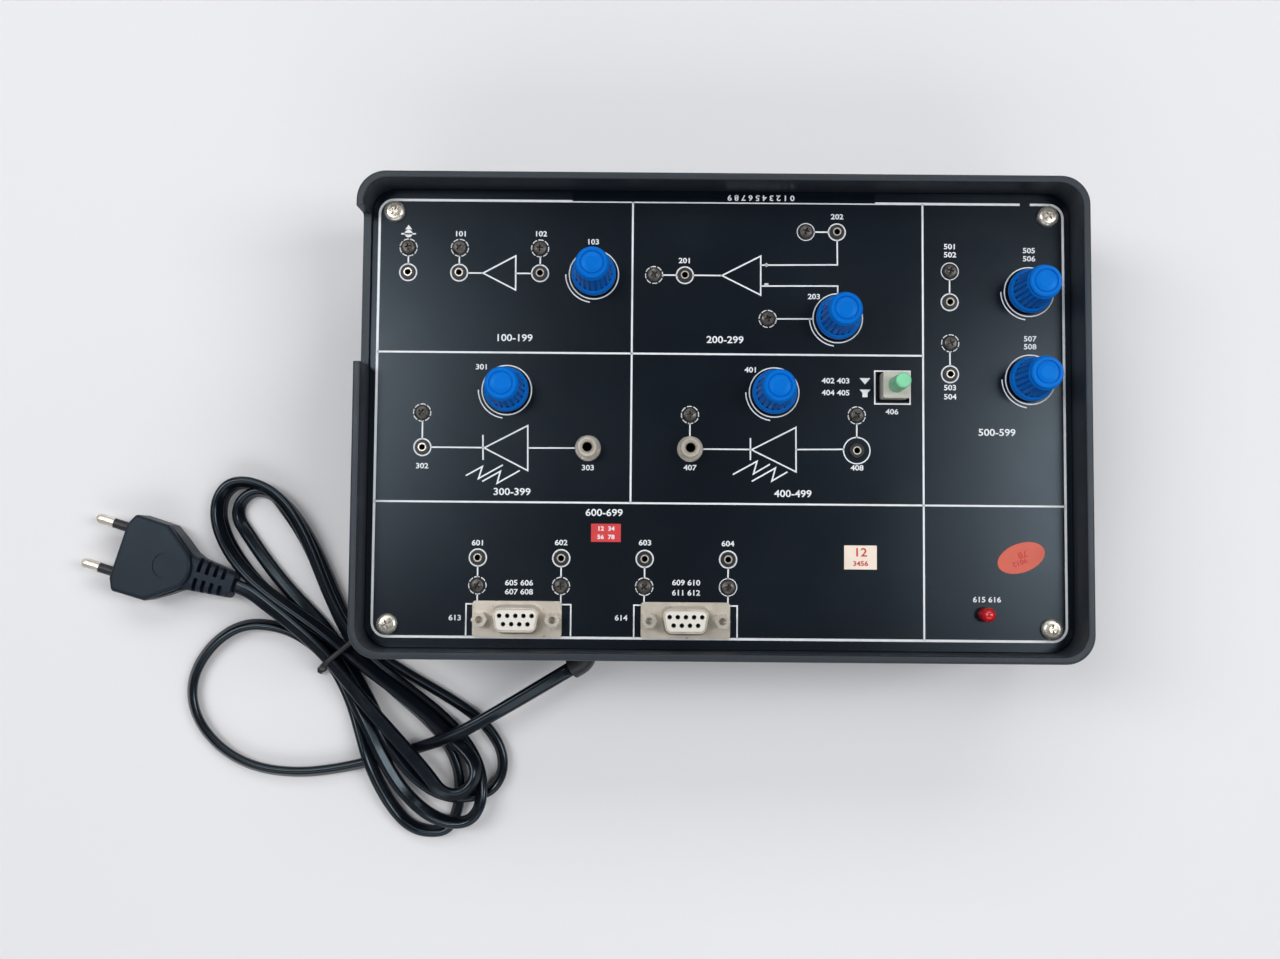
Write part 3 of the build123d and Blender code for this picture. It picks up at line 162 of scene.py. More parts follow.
# Tint of the glossy parts' sheen
COOL = (0.70, 0.87, 1.0)
FINISHES = {
    "case_plastic": finish("case_plastic", (0.013, 0.017, 0.024), 0.46, grain=2400, depth=0.05,
                           shade=0.08, patch=18, speck=(0.030, 0.034, 0.042), wave=0.05,
                           specular=0.62, sheen_tint=(0.82, 0.92, 1.0)),
    "panel": finish("panel", (0.0012, 0.0026, 0.0062), 0.25, patch=9, shade=0.2, grain=2600,
                    depth=0.004, rough_spread=0.03, specular=0.46, sheen_tint=COOL,
                    wave=0.03),
    "board": finish("board", (0.02, 0.13, 0.05), 0.35, grain=900),
    "steel": finish("steel", (0.58, 0.56, 0.52), 0.32, metal=1.0, grain=2500, rough_spread=0.1),
    "screw_silver": finish("screw_silver", (0.74, 0.70, 0.62), 0.26, metal=0.75, shade=0.2,
                           patch=260, grain=2400, rough_spread=0.1, depth=0.02),
    "nickel": finish("nickel", (0.80, 0.74, 0.65), 0.24, metal=0.62, shade=0.14, patch=180,
                     grain=2500, depth=0.012),
    "screw_dark": finish("screw_dark", (0.085, 0.08, 0.075), 0.4, metal=0.85, shade=0.45,
                         patch=420, grain=3000, rough_spread=0.12, speck=(0.30, 0.28, 0.25)),
    "brass": finish("brass", (0.62, 0.45, 0.2), 0.3, metal=1.0),
    "copper": finish("copper", (0.55, 0.22, 0.09), 0.35, metal=1.0),
    "knob_blue": finish("knob_blue", (0.0006, 0.145, 0.60), 0.36, shade=0.07, patch=45,
                        grain=2200, depth=0.014, specular=0.35,
                        sheen_tint=(0.15, 0.6, 1.0), wave=0.04),
    "white_nylon": finish("white_nylon", (0.75, 0.74, 0.70), 0.5),
    "black_nylon": finish("black_nylon", (0.014, 0.015, 0.018), 0.42, grain=2600),
    "collar": finish("collar", (0.010, 0.011, 0.014), 0.38, grain=2600, shade=0.2, patch=300),
    "cream": finish("cream", (0.53, 0.52, 0.46), 0.45, shade=0.05, patch=120, grain=1800),
    "green_cap": finish("green_cap", (0.21, 0.65, 0.36), 0.38, shade=0.06, patch=120),
    "shell_tin": finish("shell_tin", (0.70, 0.64, 0.55), 0.34, metal=0.55, shade=0.1,
                        patch=160, grain=1800, rough_spread=0.08, wave=0.03),
    "insulator": finish("insulator", (0.72, 0.70, 0.64), 0.5, shade=0.05),
    "contact_dark": finish("contact_dark", (0.02, 0.018, 0.015), 0.5, metal=0.4),
    "red_lens": finish("red_lens", (0.55, 0.008, 0.012), 0.12, shade=0.15, patch=300,
                       depth=0.004, coat=0.5, coat_rough=0.05),
    "print_white": finish("print_white", (0.78, 0.81, 0.84), 0.5, shade=0.06, patch=400),
    "label_red": finish("label_red", (0.62, 0.035, 0.04), 0.45, shade=0.06, patch=300),
    "label_white": finish("label_white", (0.86, 0.74, 0.63), 0.5, shade=0.04, patch=200),
    "label_orange": finish("label_orange", (0.60, 0.10, 0.06), 0.45, shade=0.04, patch=200),
    "ink_red": finish("ink_red", (0.50, 0.03, 0.03), 0.5, shade=0.08, patch=400),
    "title_black": finish("title_black", (0.0012, 0.0026, 0.0062), 0.14, patch=40, grain=2600,
                          depth=0.004, specular=0.42, sheen_tint=COOL),
    "cord_black": finish("cord_black", (0.003, 0.0042, 0.0072), 0.22, patch=90, grain=1400,
                         shade=0.15, depth=0.012, rough_spread=0.05, specular=0.5,
                         sheen_tint=COOL, wave=0.04),
    "plug_black": finish("plug_black", (0.010, 0.014, 0.022), 0.42, patch=60, grain=2400,
                         depth=0.04, specular=0.3, sheen_tint=COOL, wave=0.05),
    # Near-black painted shade for the insides of the socket and receptacle bores
    "bore_painted_shade": finish("bore_painted_shade", (0.006, 0.005, 0.004), 0.6),
    "rubber": finish("rubber", (0.02, 0.02, 0.02), 0.8),
    "dark_core": finish("dark_core", (0.10, 0.095, 0.09), 0.5, metal=0.7,
                        stretch=(1, 1, 14)),
}

NODE_FINISH = {
    "case_shell": "case_plastic", "rubber_feet": "rubber", "foot_screws": "steel",
    "front_panel": "panel", "circuit_board": "board", "terminal_spacers": "brass", "terminal_nuts": "steel",
    "transformer_core": "dark_core", "transformer_coil": "white_nylon",
    "transformer_strap": "steel", "transformer_screws": "steel", "transformer_nuts": "steel",
    "mains_leads": "copper", "secondary_leads": "copper", "filter_capacitors": "black_nylon",
    "dip_ics": "black_nylon", "potentiometer_bodies": "steel", "potentiometer_washers": "steel",
    "potentiometer_nuts": "nickel", "socket_collars": "collar",
    "socket_contacts": "nickel", "fibre_receptacles": "nickel", "receptacle_nuts": "nickel",
    "optical_diodes": "black_nylon", "switch_body": "cream", "switch_plunger": "cream",
    "switch_cap": "green_cap", "switch_spring": "steel", "indicator_lamp": "red_lens",
    "dsub_shells": "shell_tin", "dsub_insulators": "insulator", "dsub_contacts": "contact_dark",
    "dsub_jack_posts": "nickel", "dsub_nuts": "steel", "title_strip": "title_black",
    "red_label": "label_red", "white_label": "label_white", "oval_label": "label_orange",
    "cord_bushing": "black_nylon", "plug_body": "plug_black",
    "plug_pins": "nickel", "pin_sleeves": "black_nylon",
}
KIND_FINISH = {"knob": "knob_blue", "shaft": "nickel"}


def dress(node, material):
    """Give a piece of the model one material on all its faces."""
    if not node.data.materials:
        node.data.materials.append(material)
    for i in range(len(node.data.materials)):
        node.data.materials[i] = material


# The nodes with no finish here are the ones that new pieces replace
for node_name, node in NODES.items():
    kind = node_name.rsplit("_", 1)[-1]
    key = NODE_FINISH.get(node_name, KIND_FINISH.get(kind))
    if key is not None:
        dress(node, FINISHES[key])


# Mesh helpers
def mm(x, y, z):
    """A point given in millimetres, in metres."""
    return Vector((x * MM, y * MM, z * MM))


def piece(name, bm, material, body="case", smooth=False):
    """New object from a bmesh, riding on a body of the model."""
    mesh = bpy.data.meshes.new(name)
    bmesh.ops.recalc_face_normals(bm, faces=bm.faces)
    bm.to_mesh(mesh)
    bm.free()
    if smooth:
        mesh.shade_smooth()
    mesh.materials.append(FINISHES[material])
    obj = bpy.data.objects.new(name, mesh)
    bpy.context.scene.collection.objects.link(obj)
    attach(obj, body)
    return obj


def lathe(bm, profile, steps=40, x=0.0, y=0.0):
    """Surface turned about an upright axis at x, y from a profile of (radius, height) in mm."""
    rings = []
    for r, z in profile:
        if r == 0:
            rings.append([bm.verts.new(mm(x, y, z))])
            continue
        angles = [2 * math.pi * i / steps for i in range(steps)]
        rings.append([bm.verts.new(mm(x + r * math.cos(a), y + r * math.sin(a), z))
                      for a in angles])
    for a, b in zip(rings, rings[1:]):
        for i in range(steps):
            k = (i + 1) % steps
            corners = [a[i % len(a)], a[k % len(a)], b[k % len(b)], b[i % len(b)]]
            bm.faces.new(list(dict.fromkeys(corners)))


def skin(bm, rings, sides):
    """Close a row of equal rings of vertices into a tube with flat ends."""
    for a, b in zip(rings, rings[1:]):
        for j in range(sides):
            k = (j + 1) % sides
            bm.faces.new((a[j], a[k], b[k], b[j]))
    bm.faces.new(rings[0])
    bm.faces.new(list(reversed(rings[-1])))


def cut(bm, cutter):
    """The first bmesh less the second, as a new mesh."""
    objects = []
    for part in (bm, cutter):
        mesh = bpy.data.meshes.new("blank")
        bmesh.ops.recalc_face_normals(part, faces=part.faces)
        part.to_mesh(mesh)
        part.free()
        obj = bpy.data.objects.new("blank", mesh)
        bpy.context.scene.collection.objects.link(obj)
        objects.append(obj)
    tool = objects[0].modifiers.new("cut", "BOOLEAN")
    tool.operation = "DIFFERENCE"
    tool.solver = "EXACT"
    tool.object = objects[1]
    bpy.context.view_layer.update()
    graph = bpy.context.evaluated_depsgraph_get()
    result = bpy.data.meshes.new_from_object(objects[0].evaluated_get(graph))
    for obj in objects:
        bpy.data.objects.remove(obj)
    return result


def placed(bm, mesh, x, y, turn):
    """Add a copy of a mesh to a bmesh, turned about its own axis."""
    copy = mesh.copy()
    copy.transform(Matrix.Translation(mm(x, y, 0)) @ Matrix.Rotation(math.radians(turn), 4, "Z"))
    bm.from_mesh(copy)
    bpy.data.meshes.remove(copy)


# Mains cord
CORD_W = 5.4
CORD_H = 3.4
CORD_GROOVE = 0.14
REST_GAP = 0.3
CURVE_STEPS = 8
HANK_X = -142.5
HANK_Y = -87.0
HANK_ANGLE = math.radians(-56.15)
OUTLET = Vector((-0.82, -0.51, -0.26)).normalized()
OUTLET_END = Vector((-47.5, -87.0, 23.3)) + OUTLET * 6.0
OUTLET_RUN = 16.0
PLUG = Vector((-227.1, -47.9, 7.0))
PLUG_HEADING = math.radians(163.04)
PLUG_WAY = Vector((math.cos(PLUG_HEADING), math.sin(PLUG_HEADING), 0))
PLUG_LENGTH = 45.0
RELIEF_END = PLUG - PLUG_WAY * PLUG_LENGTH

# Free run from the outlet, over the right side of the hank and under its left side: x, y, z
# and the tilt of the flat cord in degrees
FREE_RUN = [
    (-82.0, -108.3, 14.4, 35),
    (-97.8, -117.2, 12.4, 40),
    (-112.5, -122.8, 4.3, 50),
    (-127.5, -127.6, 2.5, 60),
    (-143.5, -131.4, 2.5, 62),
    (-160.0, -133.2, 2.5, 62),
    (-177.0, -131.0, 2.6, 60),
    (-191.0, -123.0, 2.6, 58),
    (-200.3, -110.5, 2.6, 55),
    (-201.3, -96.5, 2.6, 52),
    (-193.5, -83.4, 2.6, 55),
    (-181.5, -75.6, 2.5, 60),
]
# The tied hank, in its own axes: along it, across it, height and tilt
HANK = [
    (-22.0, -14.4, 2.5, 65), (-11.0, -8.3, 2.5, 65), (0.0, -5.9, 2.4, 60),
    (10.0, -6.1, 2.4, 55), (20.0, -7.8, 3.0, 50), (30.0, -10.4, 4.8, 48),
    (40.0, -13.1, 6.3, 45), (50.0, -15.0, 5.0, 42), (60.0, -15.8, 3.2, 42),
    (69.5, -14.4, 2.4, 48), (75.8, -9.3, 2.4, 60), (79.0, -2.8, 2.5, 60),
    (75.9, 3.4, 2.4, 50), (68.6, 9.9, 2.2, 50), (60.0, 13.8, 2.3, 55),
    (50.0, 14.8, 2.4, 60), (40.0, 13.2, 2.4, 60), (30.0, 10.4, 2.4, 60),
    (20.0, 7.4, 2.4, 62), (10.0, 5.3, 2.5, 70), (0.0, 4.7, 2.6, 80),
    (-10.0, 5.1, 2.6, 80), (-20.0, 6.5, 2.6, 80), (-30.0, 8.5, 2.6, 80),
    (-40.0, 10.2, 2.6, 80), (-50.0, 10.9, 2.6, 78), (-60.4, 10.5, 2.5, 70),
    (-67.3, 10.1, 2.4, 66), (-72.2, 5.4, 2.4, 66), (-72.2, -1.4, 2.4, 58),
    (-67.4, -6.2, 2.1, 35), (-60.4, -6.4, 1.9, 15), (-50.0, -6.2, 1.8, 8),
    (-40.0, -5.6, 1.8, 5), (-30.0, -4.2, 1.8, 8), (-20.0, -2.2, 1.9, 20),
    (-10.0, -0.5, 2.1, 40), (0.0, -0.4, 2.3, 50), (10.0, -0.8, 2.4, 50),
    (20.0, -1.3, 3.2, 45), (30.0, -2.2, 4.8, 40), (40.0, -2.9, 6.4, 35),
    (50.0, -2.4, 6.5, 35), (60.0, 0.0, 6.3, 40), (67.4, 4.4, 6.3, 50),
    (71.6, 9.6, 5.8, 55), (74.6, 15.2, 4.0, 60), (75.6, 20.6, 2.8, 60),
    (72.4, 26.8, 2.5, 58), (66.4, 30.6, 2.4, 55), (58.8, 31.7, 2.4, 50),
    (50.0, 30.3, 2.4, 50), (40.0, 26.4, 2.4, 52), (30.0, 21.5, 2.4, 55),
    (20.0, 16.5, 2.5, 60), (10.0, 12.2, 2.6, 70), (0.0, 9.5, 2.7, 80),
    (-10.0, 8.9, 2.7, 85), (-20.0, 10.2, 2.7, 85), (-30.0, 12.0, 2.7, 85),
    (-40.0, 13.4, 2.7, 85), (-50.0, 14.0, 2.7, 85), (-59.0, 13.4, 2.7, 85),
    (-67.5, 11.3, 2.7, 85), (-74.6, 7.0, 2.7, 80), (-78.3, 0.6, 2.7, 80),
    (-77.2, -5.8, 2.7, 80), (-72.0, -10.8, 2.6, 75), (-64.0, -13.5, 2.5, 65),
    (-55.0, -14.2, 2.4, 60), (-45.0, -13.6, 2.4, 60), (-35.0, -11.6, 2.6, 60),
    (-25.0, -8.9, 3.4, 55), (-13.0, -5.4, 5.0, 50), (0.0, -3.0, 6.2, 45),
    (10.0, -4.0, 6.3, 40), (20.0, -5.4, 6.3, 35), (30.0, -6.6, 6.1, 30),
    (40.0, -7.9, 6.5, 25), (50.0, -8.8, 5.8, 22), (60.0, -8.2, 5.2, 25),
    (69.5, -5.4, 5.6, 35), (76.6, -0.4, 6.4, 50), (80.4, 6.0, 7.2, 60),
    (79.0, 12.2, 8.2, 55), (73.8, 17.2, 7.8, 45), (66.6, 20.4, 4.6, 40),
    (58.8, 21.4, 2.8, 42), (50.0, 20.9, 2.3, 45), (40.0, 18.8, 2.3, 48),
    (30.0, 15.5, 2.5, 50), (20.0, 11.9, 3.2, 50), (10.0, 9.0, 5.2, 50),
    (0.0, 7.4, 6.7, 48), (-10.0, 6.9, 6.8, 45), (-20.0, 8.0, 6.8, 42),
    (-30.0, 9.9, 6.9, 40), (-40.0, 11.9, 6.9, 38), (-50.0, 13.2, 6.8, 38),
    (-59.5, 13.2, 6.6, 42), (-68.3, 11.1, 6.2, 50), (-75.6, 6.4, 6.2, 60),
    (-79.5, -0.2, 6.2, 62), (-77.7, -6.8, 6.2, 60), (-71.8, -11.9, 6.0, 52),
    (-63.5, -14.5, 5.9, 45), (-54.0, -15.1, 5.8, 42), (-44.0, -13.7, 5.9, 40),
    (-34.0, -10.5, 6.2, 40), (-24.0, -6.4, 6.5, 40), (-12.0, -1.6, 6.7, 42),
    (0.0, 2.3, 6.7, 45), (10.0, 5.5, 6.9, 45), (20.0, 9.2, 6.8, 42),
    (30.0, 12.6, 6.4, 40), (40.0, 15.8, 6.4, 38), (50.0, 18.1, 6.5, 35),
    (58.0, 20.5, 7.6, 32), (64.9, 20.7, 8.8, 40), (69.8, 15.8, 9.8, 52),
    (69.8, 9.0, 10.4, 42), (64.9, 4.3, 10.4, 25), (57.6, 3.9, 10.2, 12),
    (48.0, 2.6, 10.0, 6), (38.0, 1.0, 9.9, 4), (28.0, -0.6, 9.9, 6),
    (18.0, -1.9, 10.1, 12), (8.0, -3.0, 10.1, 22), (-2.0, -4.4, 10.0, 30),
    (-12.0, -6.7, 9.8, 30), (-22.0, -9.9, 9.2, 28), (-31.5, -13.3, 8.2, 20),
]


def lift(tilt):
    """Least height of the cord's middle above what it lies on, for its tilt in degrees."""
    a = math.radians(tilt)
    return math.hypot(CORD_W / 2 * math.sin(a), CORD_H / 2 * math.cos(a)) + REST_GAP


def hank_turn(u, v, z):
    """A point of the hank's own axes, in the part's frame."""
    c = math.cos(HANK_ANGLE)
    s = math.sin(HANK_ANGLE)
    return Vector((HANK_X + u * c - v * s, HANK_Y + u * s + v * c, z))


route = [OUTLET_END, OUTLET_END + OUTLET * OUTLET_RUN]
route += [Vector((x, y, max(z, lift(tilt)))) for x, y, z, tilt in FREE_RUN]
route += [hank_turn(u, v, max(z, lift(tilt))) for u, v, z, tilt in HANK]
route += [RELIEF_END - PLUG_WAY * 5.0, RELIEF_END + PLUG_WAY]
tilts = [0, 20] + [p[3] for p in FREE_RUN] + [p[3] for p in HANK] + [5, 0]


def spline_points(points, name):
    """The points that a smooth spline with these control points runs through, in metres."""
    curve = bpy.data.curves.new(name, "CURVE")
    curve.dimensions = "3D"
    curve.resolution_u = CURVE_STEPS
    spline = curve.splines.new("NURBS")
    spline.points.add(len(points) - 1)
    for target, source in zip(spline.points, points):
        target.co = (source.x * MM, source.y * MM, source.z * MM, 1.0)
    spline.order_u = 3
    spline.use_endpoint_u = True
    holder = bpy.data.objects.new(name, curve)
    bpy.context.scene.collection.objects.link(holder)
    bpy.context.view_layer.update()
    mesh = bpy.data.meshes.new_from_object(holder)
    line = [v.co.copy() for v in mesh.vertices]
    bpy.data.objects.remove(holder)
    bpy.data.curves.remove(curve)
    bpy.data.meshes.remove(mesh)
    return line


def flat_section(width, height, groove, count=24):
    """Outline of a two-core flat cord: rounded ends and a shallow groove on both faces."""
    outline = []
    for i in range(count):
        a = 2 * math.pi * i / count
        x = math.copysign(abs(math.cos(a)) ** 0.8, math.cos(a)) * width / 2
        y = math.copysign(abs(math.sin(a)) ** 0.9, math.sin(a)) * height / 2
        y *= 1 - groove * math.exp(-((x / (0.13 * width)) ** 2))
        outline.append((x, y))
    return outline


def tilt_along(i, count):
    """Tilt at sample i of the line, in radians, blended from the control points' tilts."""
    place = (len(tilts) - 1) * i / (count - 1)
    low = min(int(place), len(tilts) - 2)
    part = place - low
    ease = part * part * (3 - 2 * part)
    return math.radians(tilts[low] * (1 - ease) + tilts[low + 1] * ease)


def flat_tube(line, outline, tilt):
    """Tube of a given outline along a line, turned about it by a tilt."""
    bm = bmesh.new()
    rings = []
    for i, p in enumerate(line):
        before = line[max(0, i - 1)]
        after = line[min(len(line) - 1, i + 1)]
        way = (after - before).normalized()
        side = way.cross(Vector((0, 0, 1))).normalized()
        up = side.cross(way).normalized()
        angle = tilt(i, len(line))
        wide = side * math.cos(angle) + up * math.sin(angle)
        thin = up * math.cos(angle) - side * math.sin(angle)
        rings.append([bm.verts.new(p + wide * x * MM + thin * y * MM) for x, y in outline])
    skin(bm, rings, len(outline))
    return bm


cord_line = spline_points(route, "cord_route")
cord_bm = flat_tube(cord_line, flat_section(CORD_W, CORD_H, CORD_GROOVE), tilt_along)
mains_cord = piece("mains_cord", cord_bm, "cord_black", smooth=True)
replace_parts(mains_cord, "cord_from_case", "cord_hank", "cord_to_plug")

# Wire tie round the bundle, its ends twisted together beside it: across the hank and height
TIE_R = 1.05
TIE_RING = [(-7.9, 3.6), (-9.4, 8.8), (-5.2, 13.1), (2.4, 12.0), (9.2, 10.0), (13.0, 5.7),
            (11.6, 1.3), (4.4, 1.2), (-3.4, 1.2)]
TIE_LAP = 2
TIE_LEAN = 0.12
TIE_ALONG = -0.6
TAIL_R = 0.75
TIE_TAIL = [(-6.6, 3.2), (-8.6, 2.4), (-10.4, 1.6), (-12.0, 1.2)]
TAIL_ALONG = 0.9
TWIST_R = 0.7
TWIST_STEP = 1.9


def round_tube(bm, line, radius, steps=10):
    """Add a round tube along a line, without twist, to a bmesh."""
    rings = []
    for i, p in enumerate(line):
        before = line[max(0, i - 1)]
        after = line[min(len(line) - 1, i + 1)]
        way = (after - before).normalized()
        side = way.orthogonal().normalized()
        if rings:
            side = (last_side - way * last_side.dot(way)).normalized()
        last_side = side
        up = way.cross(side)
        rings.append([bm.verts.new(p + (side * math.cos(a) + up * math.sin(a)) * radius * MM)
                      for a in (2 * math.pi * j / steps for j in range(steps))])
    skin(bm, rings, steps)


tie_bm = bmesh.new()
ring_points = [hank_turn(TIE_ALONG - TIE_LEAN * v, v, z)
               for v, z in TIE_RING + TIE_RING[:TIE_LAP]]
round_tube(tie_bm, spline_points(ring_points, "tie_route"), TIE_R)
for half in (0.0, math.pi):
    tail = []
    for i, (v, z) in enumerate(TIE_TAIL):
        a = half + i * TWIST_STEP
        tail.append(hank_turn(TAIL_ALONG + TWIST_R * math.cos(a), v,
                              z + TWIST_R + TWIST_R * math.sin(a)))
    round_tube(tie_bm, spline_points(tail, "tie_tail"), TAIL_R)
wire_tie = piece("wire_tie", tie_bm, "black_nylon", smooth=True)
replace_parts(wire_tie, "twist_tie")

# Print on the panel
PRINT_LOW = PANEL_Z - 0.01
PRINT_TOP = PANEL_Z + 0.04


def ribbon(bm, points, width, closed=False):
    """Flat printed stroke along plan points, with mitred corners."""
    count = len(points)
    rows = []
    for i, p in enumerate(points):
        p = Vector(p)
        before = Vector(points[i - 1]) if closed or i else None
        after = Vector(points[(i + 1) % count]) if closed or i < count - 1 else None
        d0 = (p - before).normalized() if before is not None else None
        d1 = (after - p).normalized() if after is not None else None
        d0 = d0 or d1
        d1 = d1 or d0
        n0 = Vector((-d0.y, d0.x))
        n1 = Vector((-d1.y, d1.x))
        mitre = (n0 + n1).normalized()
        mitre *= width / 2 / max(0.35, mitre.dot(n0))
        rows.append([bm.verts.new(mm(*(p + mitre * s), z))
                     for s in (1, -1) for z in (PRINT_TOP, PRINT_LOW)])
    pairs = list(zip(rows, rows[1:] + (rows[:1] if closed else [])))
    for a, b in pairs:
        for j, k in ((0, 2), (2, 3), (3, 1), (1, 0)):
            bm.faces.new((a[j], a[k], b[k], b[j]))
    if not closed:
        for end in (rows[0], rows[-1]):
            bm.faces.new((end[0], end[2], end[3], end[1]))


def arc_points(x, y, r, a0=0.0, a1=360.0):
    """Points along an arc between two angles in degrees, or round a whole circle."""
    closed = abs(a1 - a0) >= 360.0
    steps = max(3, int(abs(a1 - a0) / 7.5))
    last = steps if closed else steps + 1
    return [(x + r * math.cos(math.radians(a0 + (a1 - a0) * i / steps)),
             y + r * math.sin(math.radians(a0 + (a1 - a0) * i / steps))) for i in range(last)]


def ring(bm, x, y, r, width):
    """Printed circle."""
    ribbon(bm, arc_points(x, y, r), width, closed=True)


def dashed_ring(bm, x, y, r, width, dashes, fill, turn):
    """Printed circle of dashes, each filling a share of its step."""
    step = 360.0 / dashes
    for i in range(dashes):
        a0 = turn + i * step
        ribbon(bm, arc_points(x, y, r, a0, a0 + step * fill), width)


def plate(bm, points):
    """Filled printed area with the given corners."""
    top = [bm.verts.new(mm(x, y, PRINT_TOP)) for x, y in points]
    low = [bm.verts.new(mm(x, y, PRINT_LOW)) for x, y in points]
    bm.faces.new(top)
    bm.faces.new(list(reversed(low)))
    for i in range(len(points)):
        k = (i + 1) % len(points)
        bm.faces.new((top[i], low[i], low[k], top[k]))


# Places on the panel: left to right, then down
KNOBS = [
    (-44.5, 50.4), (-74.5, 9.4), (18.8, 9.3), (41.0, 35.6), (108.0, 45.4), (108.2, 14.5),
]
SOCKETS = [
    (-109.7, 50.7), (-91.8, 50.7), (-63.4, 50.7), (-12.6, 50.4), (40.7, 66.1),
    (-103.6, -10.8), (80.2, 41.6), (80.2, 16.2), (-83.7, -49.0),
    (-54.8, -49.0), (-25.9, -49.0), (3.0, -49.0),
]
WIDE_SOCKET = (47.6, -10.8)
TERMINALS = [
    (-109.7, 59.5), (-91.7, 59.5), (-63.5, 59.5), (-23.4, 50.4), (29.8, 66.1), (16.5, 35.2),
    (-103.9, 1.3), (-10.5, 1.2), (47.6, 1.5), (80.3, 52.5), (80.3, 27.1), (-83.7, -58.6),
    (-54.8, -58.6), (-26.0, -58.6), (3.0, -58.6),
]
RECEPTACLES = [(-45.9, -10.8), (-10.5, -10.8)]

# Border and dividing lines
LINE = 0.65
THIN = 0.5
BORDER = 0.85
BORDER_X = 120.0
BORDER_Y = 76.4
BORDER_R = 5.0
BORDER_GAP = (105.0, 108.6)
LEFT_SPLIT = -31.0
RIGHT_SPLIT = 70.8
UPPER_SPLIT = 22.6
LOWER_SPLIT = -29.7
lines = bmesh.new()
border = [(BORDER_GAP[0], BORDER_Y)]
for side_x, side_y, a0 in ((-1, 1, 90), (-1, -1, 180), (1, -1, 270), (1, 1, 0)):
    border += arc_points(side_x * (BORDER_X - BORDER_R), side_y * (BORDER_Y - BORDER_R),
                         BORDER_R, a0, a0 + 90)
border.append((BORDER_GAP[1], BORDER_Y))
ribbon(lines, border, BORDER)
for divider in (
    [(LEFT_SPLIT, BORDER_Y), (LEFT_SPLIT, LOWER_SPLIT)],
    [(RIGHT_SPLIT, BORDER_Y), (RIGHT_SPLIT, -BORDER_Y)],
    [(-BORDER_X, UPPER_SPLIT), (RIGHT_SPLIT, UPPER_SPLIT)],
    [(-BORDER_X, LOWER_SPLIT), (BORDER_X, LOWER_SPLIT)],
):
    ribbon(lines, divider, LINE)

# Circuit symbols and the strokes that join them
symbols = bmesh.new()
TRIANGLES = [
    [(-83.4, 50.6), (-72.0, 56.8), (-71.9, 44.7)],
    [(0.4, 50.4), (14.0, 57.4), (14.0, 43.6)],
    [(-82.1, -10.9), (-67.0, -3.0), (-66.8, -18.7)],
    [(11.0, -10.8), (26.4, -2.9), (26.5, -18.4)],
]
for triangle in TRIANGLES:
    ribbon(symbols, triangle, THIN, closed=True)
# A stroke stops at this radius from a socket or terminal
R = 2.9
STROKES = [
    [(14.0, 54.2), (40.9, 54.5), (40.8, 66.1 - R)],
    [(14.0, 46.8), (41.0, 47.0), (41.0, 44.6)],
    [(16.5 + R, 35.2), (32.0, 35.3)],
    [(-82.6, -6.4), (-82.4, -15.1)],
    [(-103.6 + R, -10.8), (-82.4, -10.8)],
    [(-66.9, -10.8), (-50.5, -10.7)],
    [(10.6, -6.7), (10.6, -14.4)],
    [(-5.8, -10.7), (10.8, -10.7)],
    [(26.4, -10.6), (43.2, -10.4)],
    [(-88.3, -20.6), (-82.6, -17.4), (-83.9, -21.6), (-75.5, -16.8)],
    [(-82.6, -22.6), (-76.3, -19.0), (-77.4, -23.2), (-69.6, -18.7)],
    [(4.5, -19.5), (12.9, -14.8), (11.7, -19.2), (17.4, -15.8)],
    [(11.1, -21.8), (19.3, -17.1), (18.1, -21.6), (23.5, -18.4)],
    [(-91.8 + R, 50.6), (-83.4, 50.6)],
    [(-72.0, 50.6), (-63.4 - R, 50.6)],
    [(-23.4 + R, 50.4), (-12.6 - R, 50.4)],
    [(-12.6 + R, 50.4), (0.4, 50.4)],
    [(16.0, 54.9), (16.0, 53.6)],
    [(15.3, 47.5), (16.7, 47.5)],
    [(29.8 + R, 66.1), (40.7 - R, 66.1)],
    [(-10.5, 1.2 - R), (-10.5, -6.2)],
    [(47.6, 1.5 - R), (47.6, -6.4)],
    [(-87.5, -76.2), (-87.5, -65.0), (-51.3, -65.0), (-51.3, -76.2)],
    [(-29.5, -76.2), (-29.5, -65.0), (6.2, -65.0), (6.2, -76.2)],
]
# Sockets joined to the terminal above or below them: x and both heights
for x, low, high in (
    (-109.7, 50.7, 59.5), (-91.8, 50.7, 59.5), (-63.4, 50.7, 59.5), (-103.7, -10.8, 1.3),
    (80.2, 41.6, 52.5), (80.2, 16.2, 27.1), (-83.7, -58.6, -49.0), (-54.8, -58.6, -49.0),
    (-25.9, -58.6, -49.0), (3.0, -58.6, -49.0),
):
    STROKES.append([(x, low + R), (x, high - R)])
for x in (-83.7, -54.8, -26.0, 3.0):
    STROKES.append([(x, -58.6 - R), (x, -65.0)])
for stroke in STROKES:
    ribbon(symbols, stroke, THIN)
# Square round the push-button and the two marks beside it, then the ground symbol
ribbon(symbols, [(53.9, 5.6), (66.2, 5.6), (66.2, 17.1), (53.9, 17.1)], THIN, closed=True)
plate(symbols, [(48.6, 14.6), (52.4, 14.6), (50.5, 12.4)])
plate(symbols, [(48.6, 10.6), (52.4, 10.6), (51.4, 9.4), (51.4, 7.9), (49.6, 7.9), (49.6, 9.4)])
plate(symbols, [(-112.4, 64.1), (-107.2, 64.1), (-107.2, 64.6), (-112.4, 64.6)])
plate(symbols, arc_points(-109.8, 64.4, 1.35))
plate(symbols, [(-111.0, 65.9), (-108.6, 65.9), (-109.8, 67.6)])

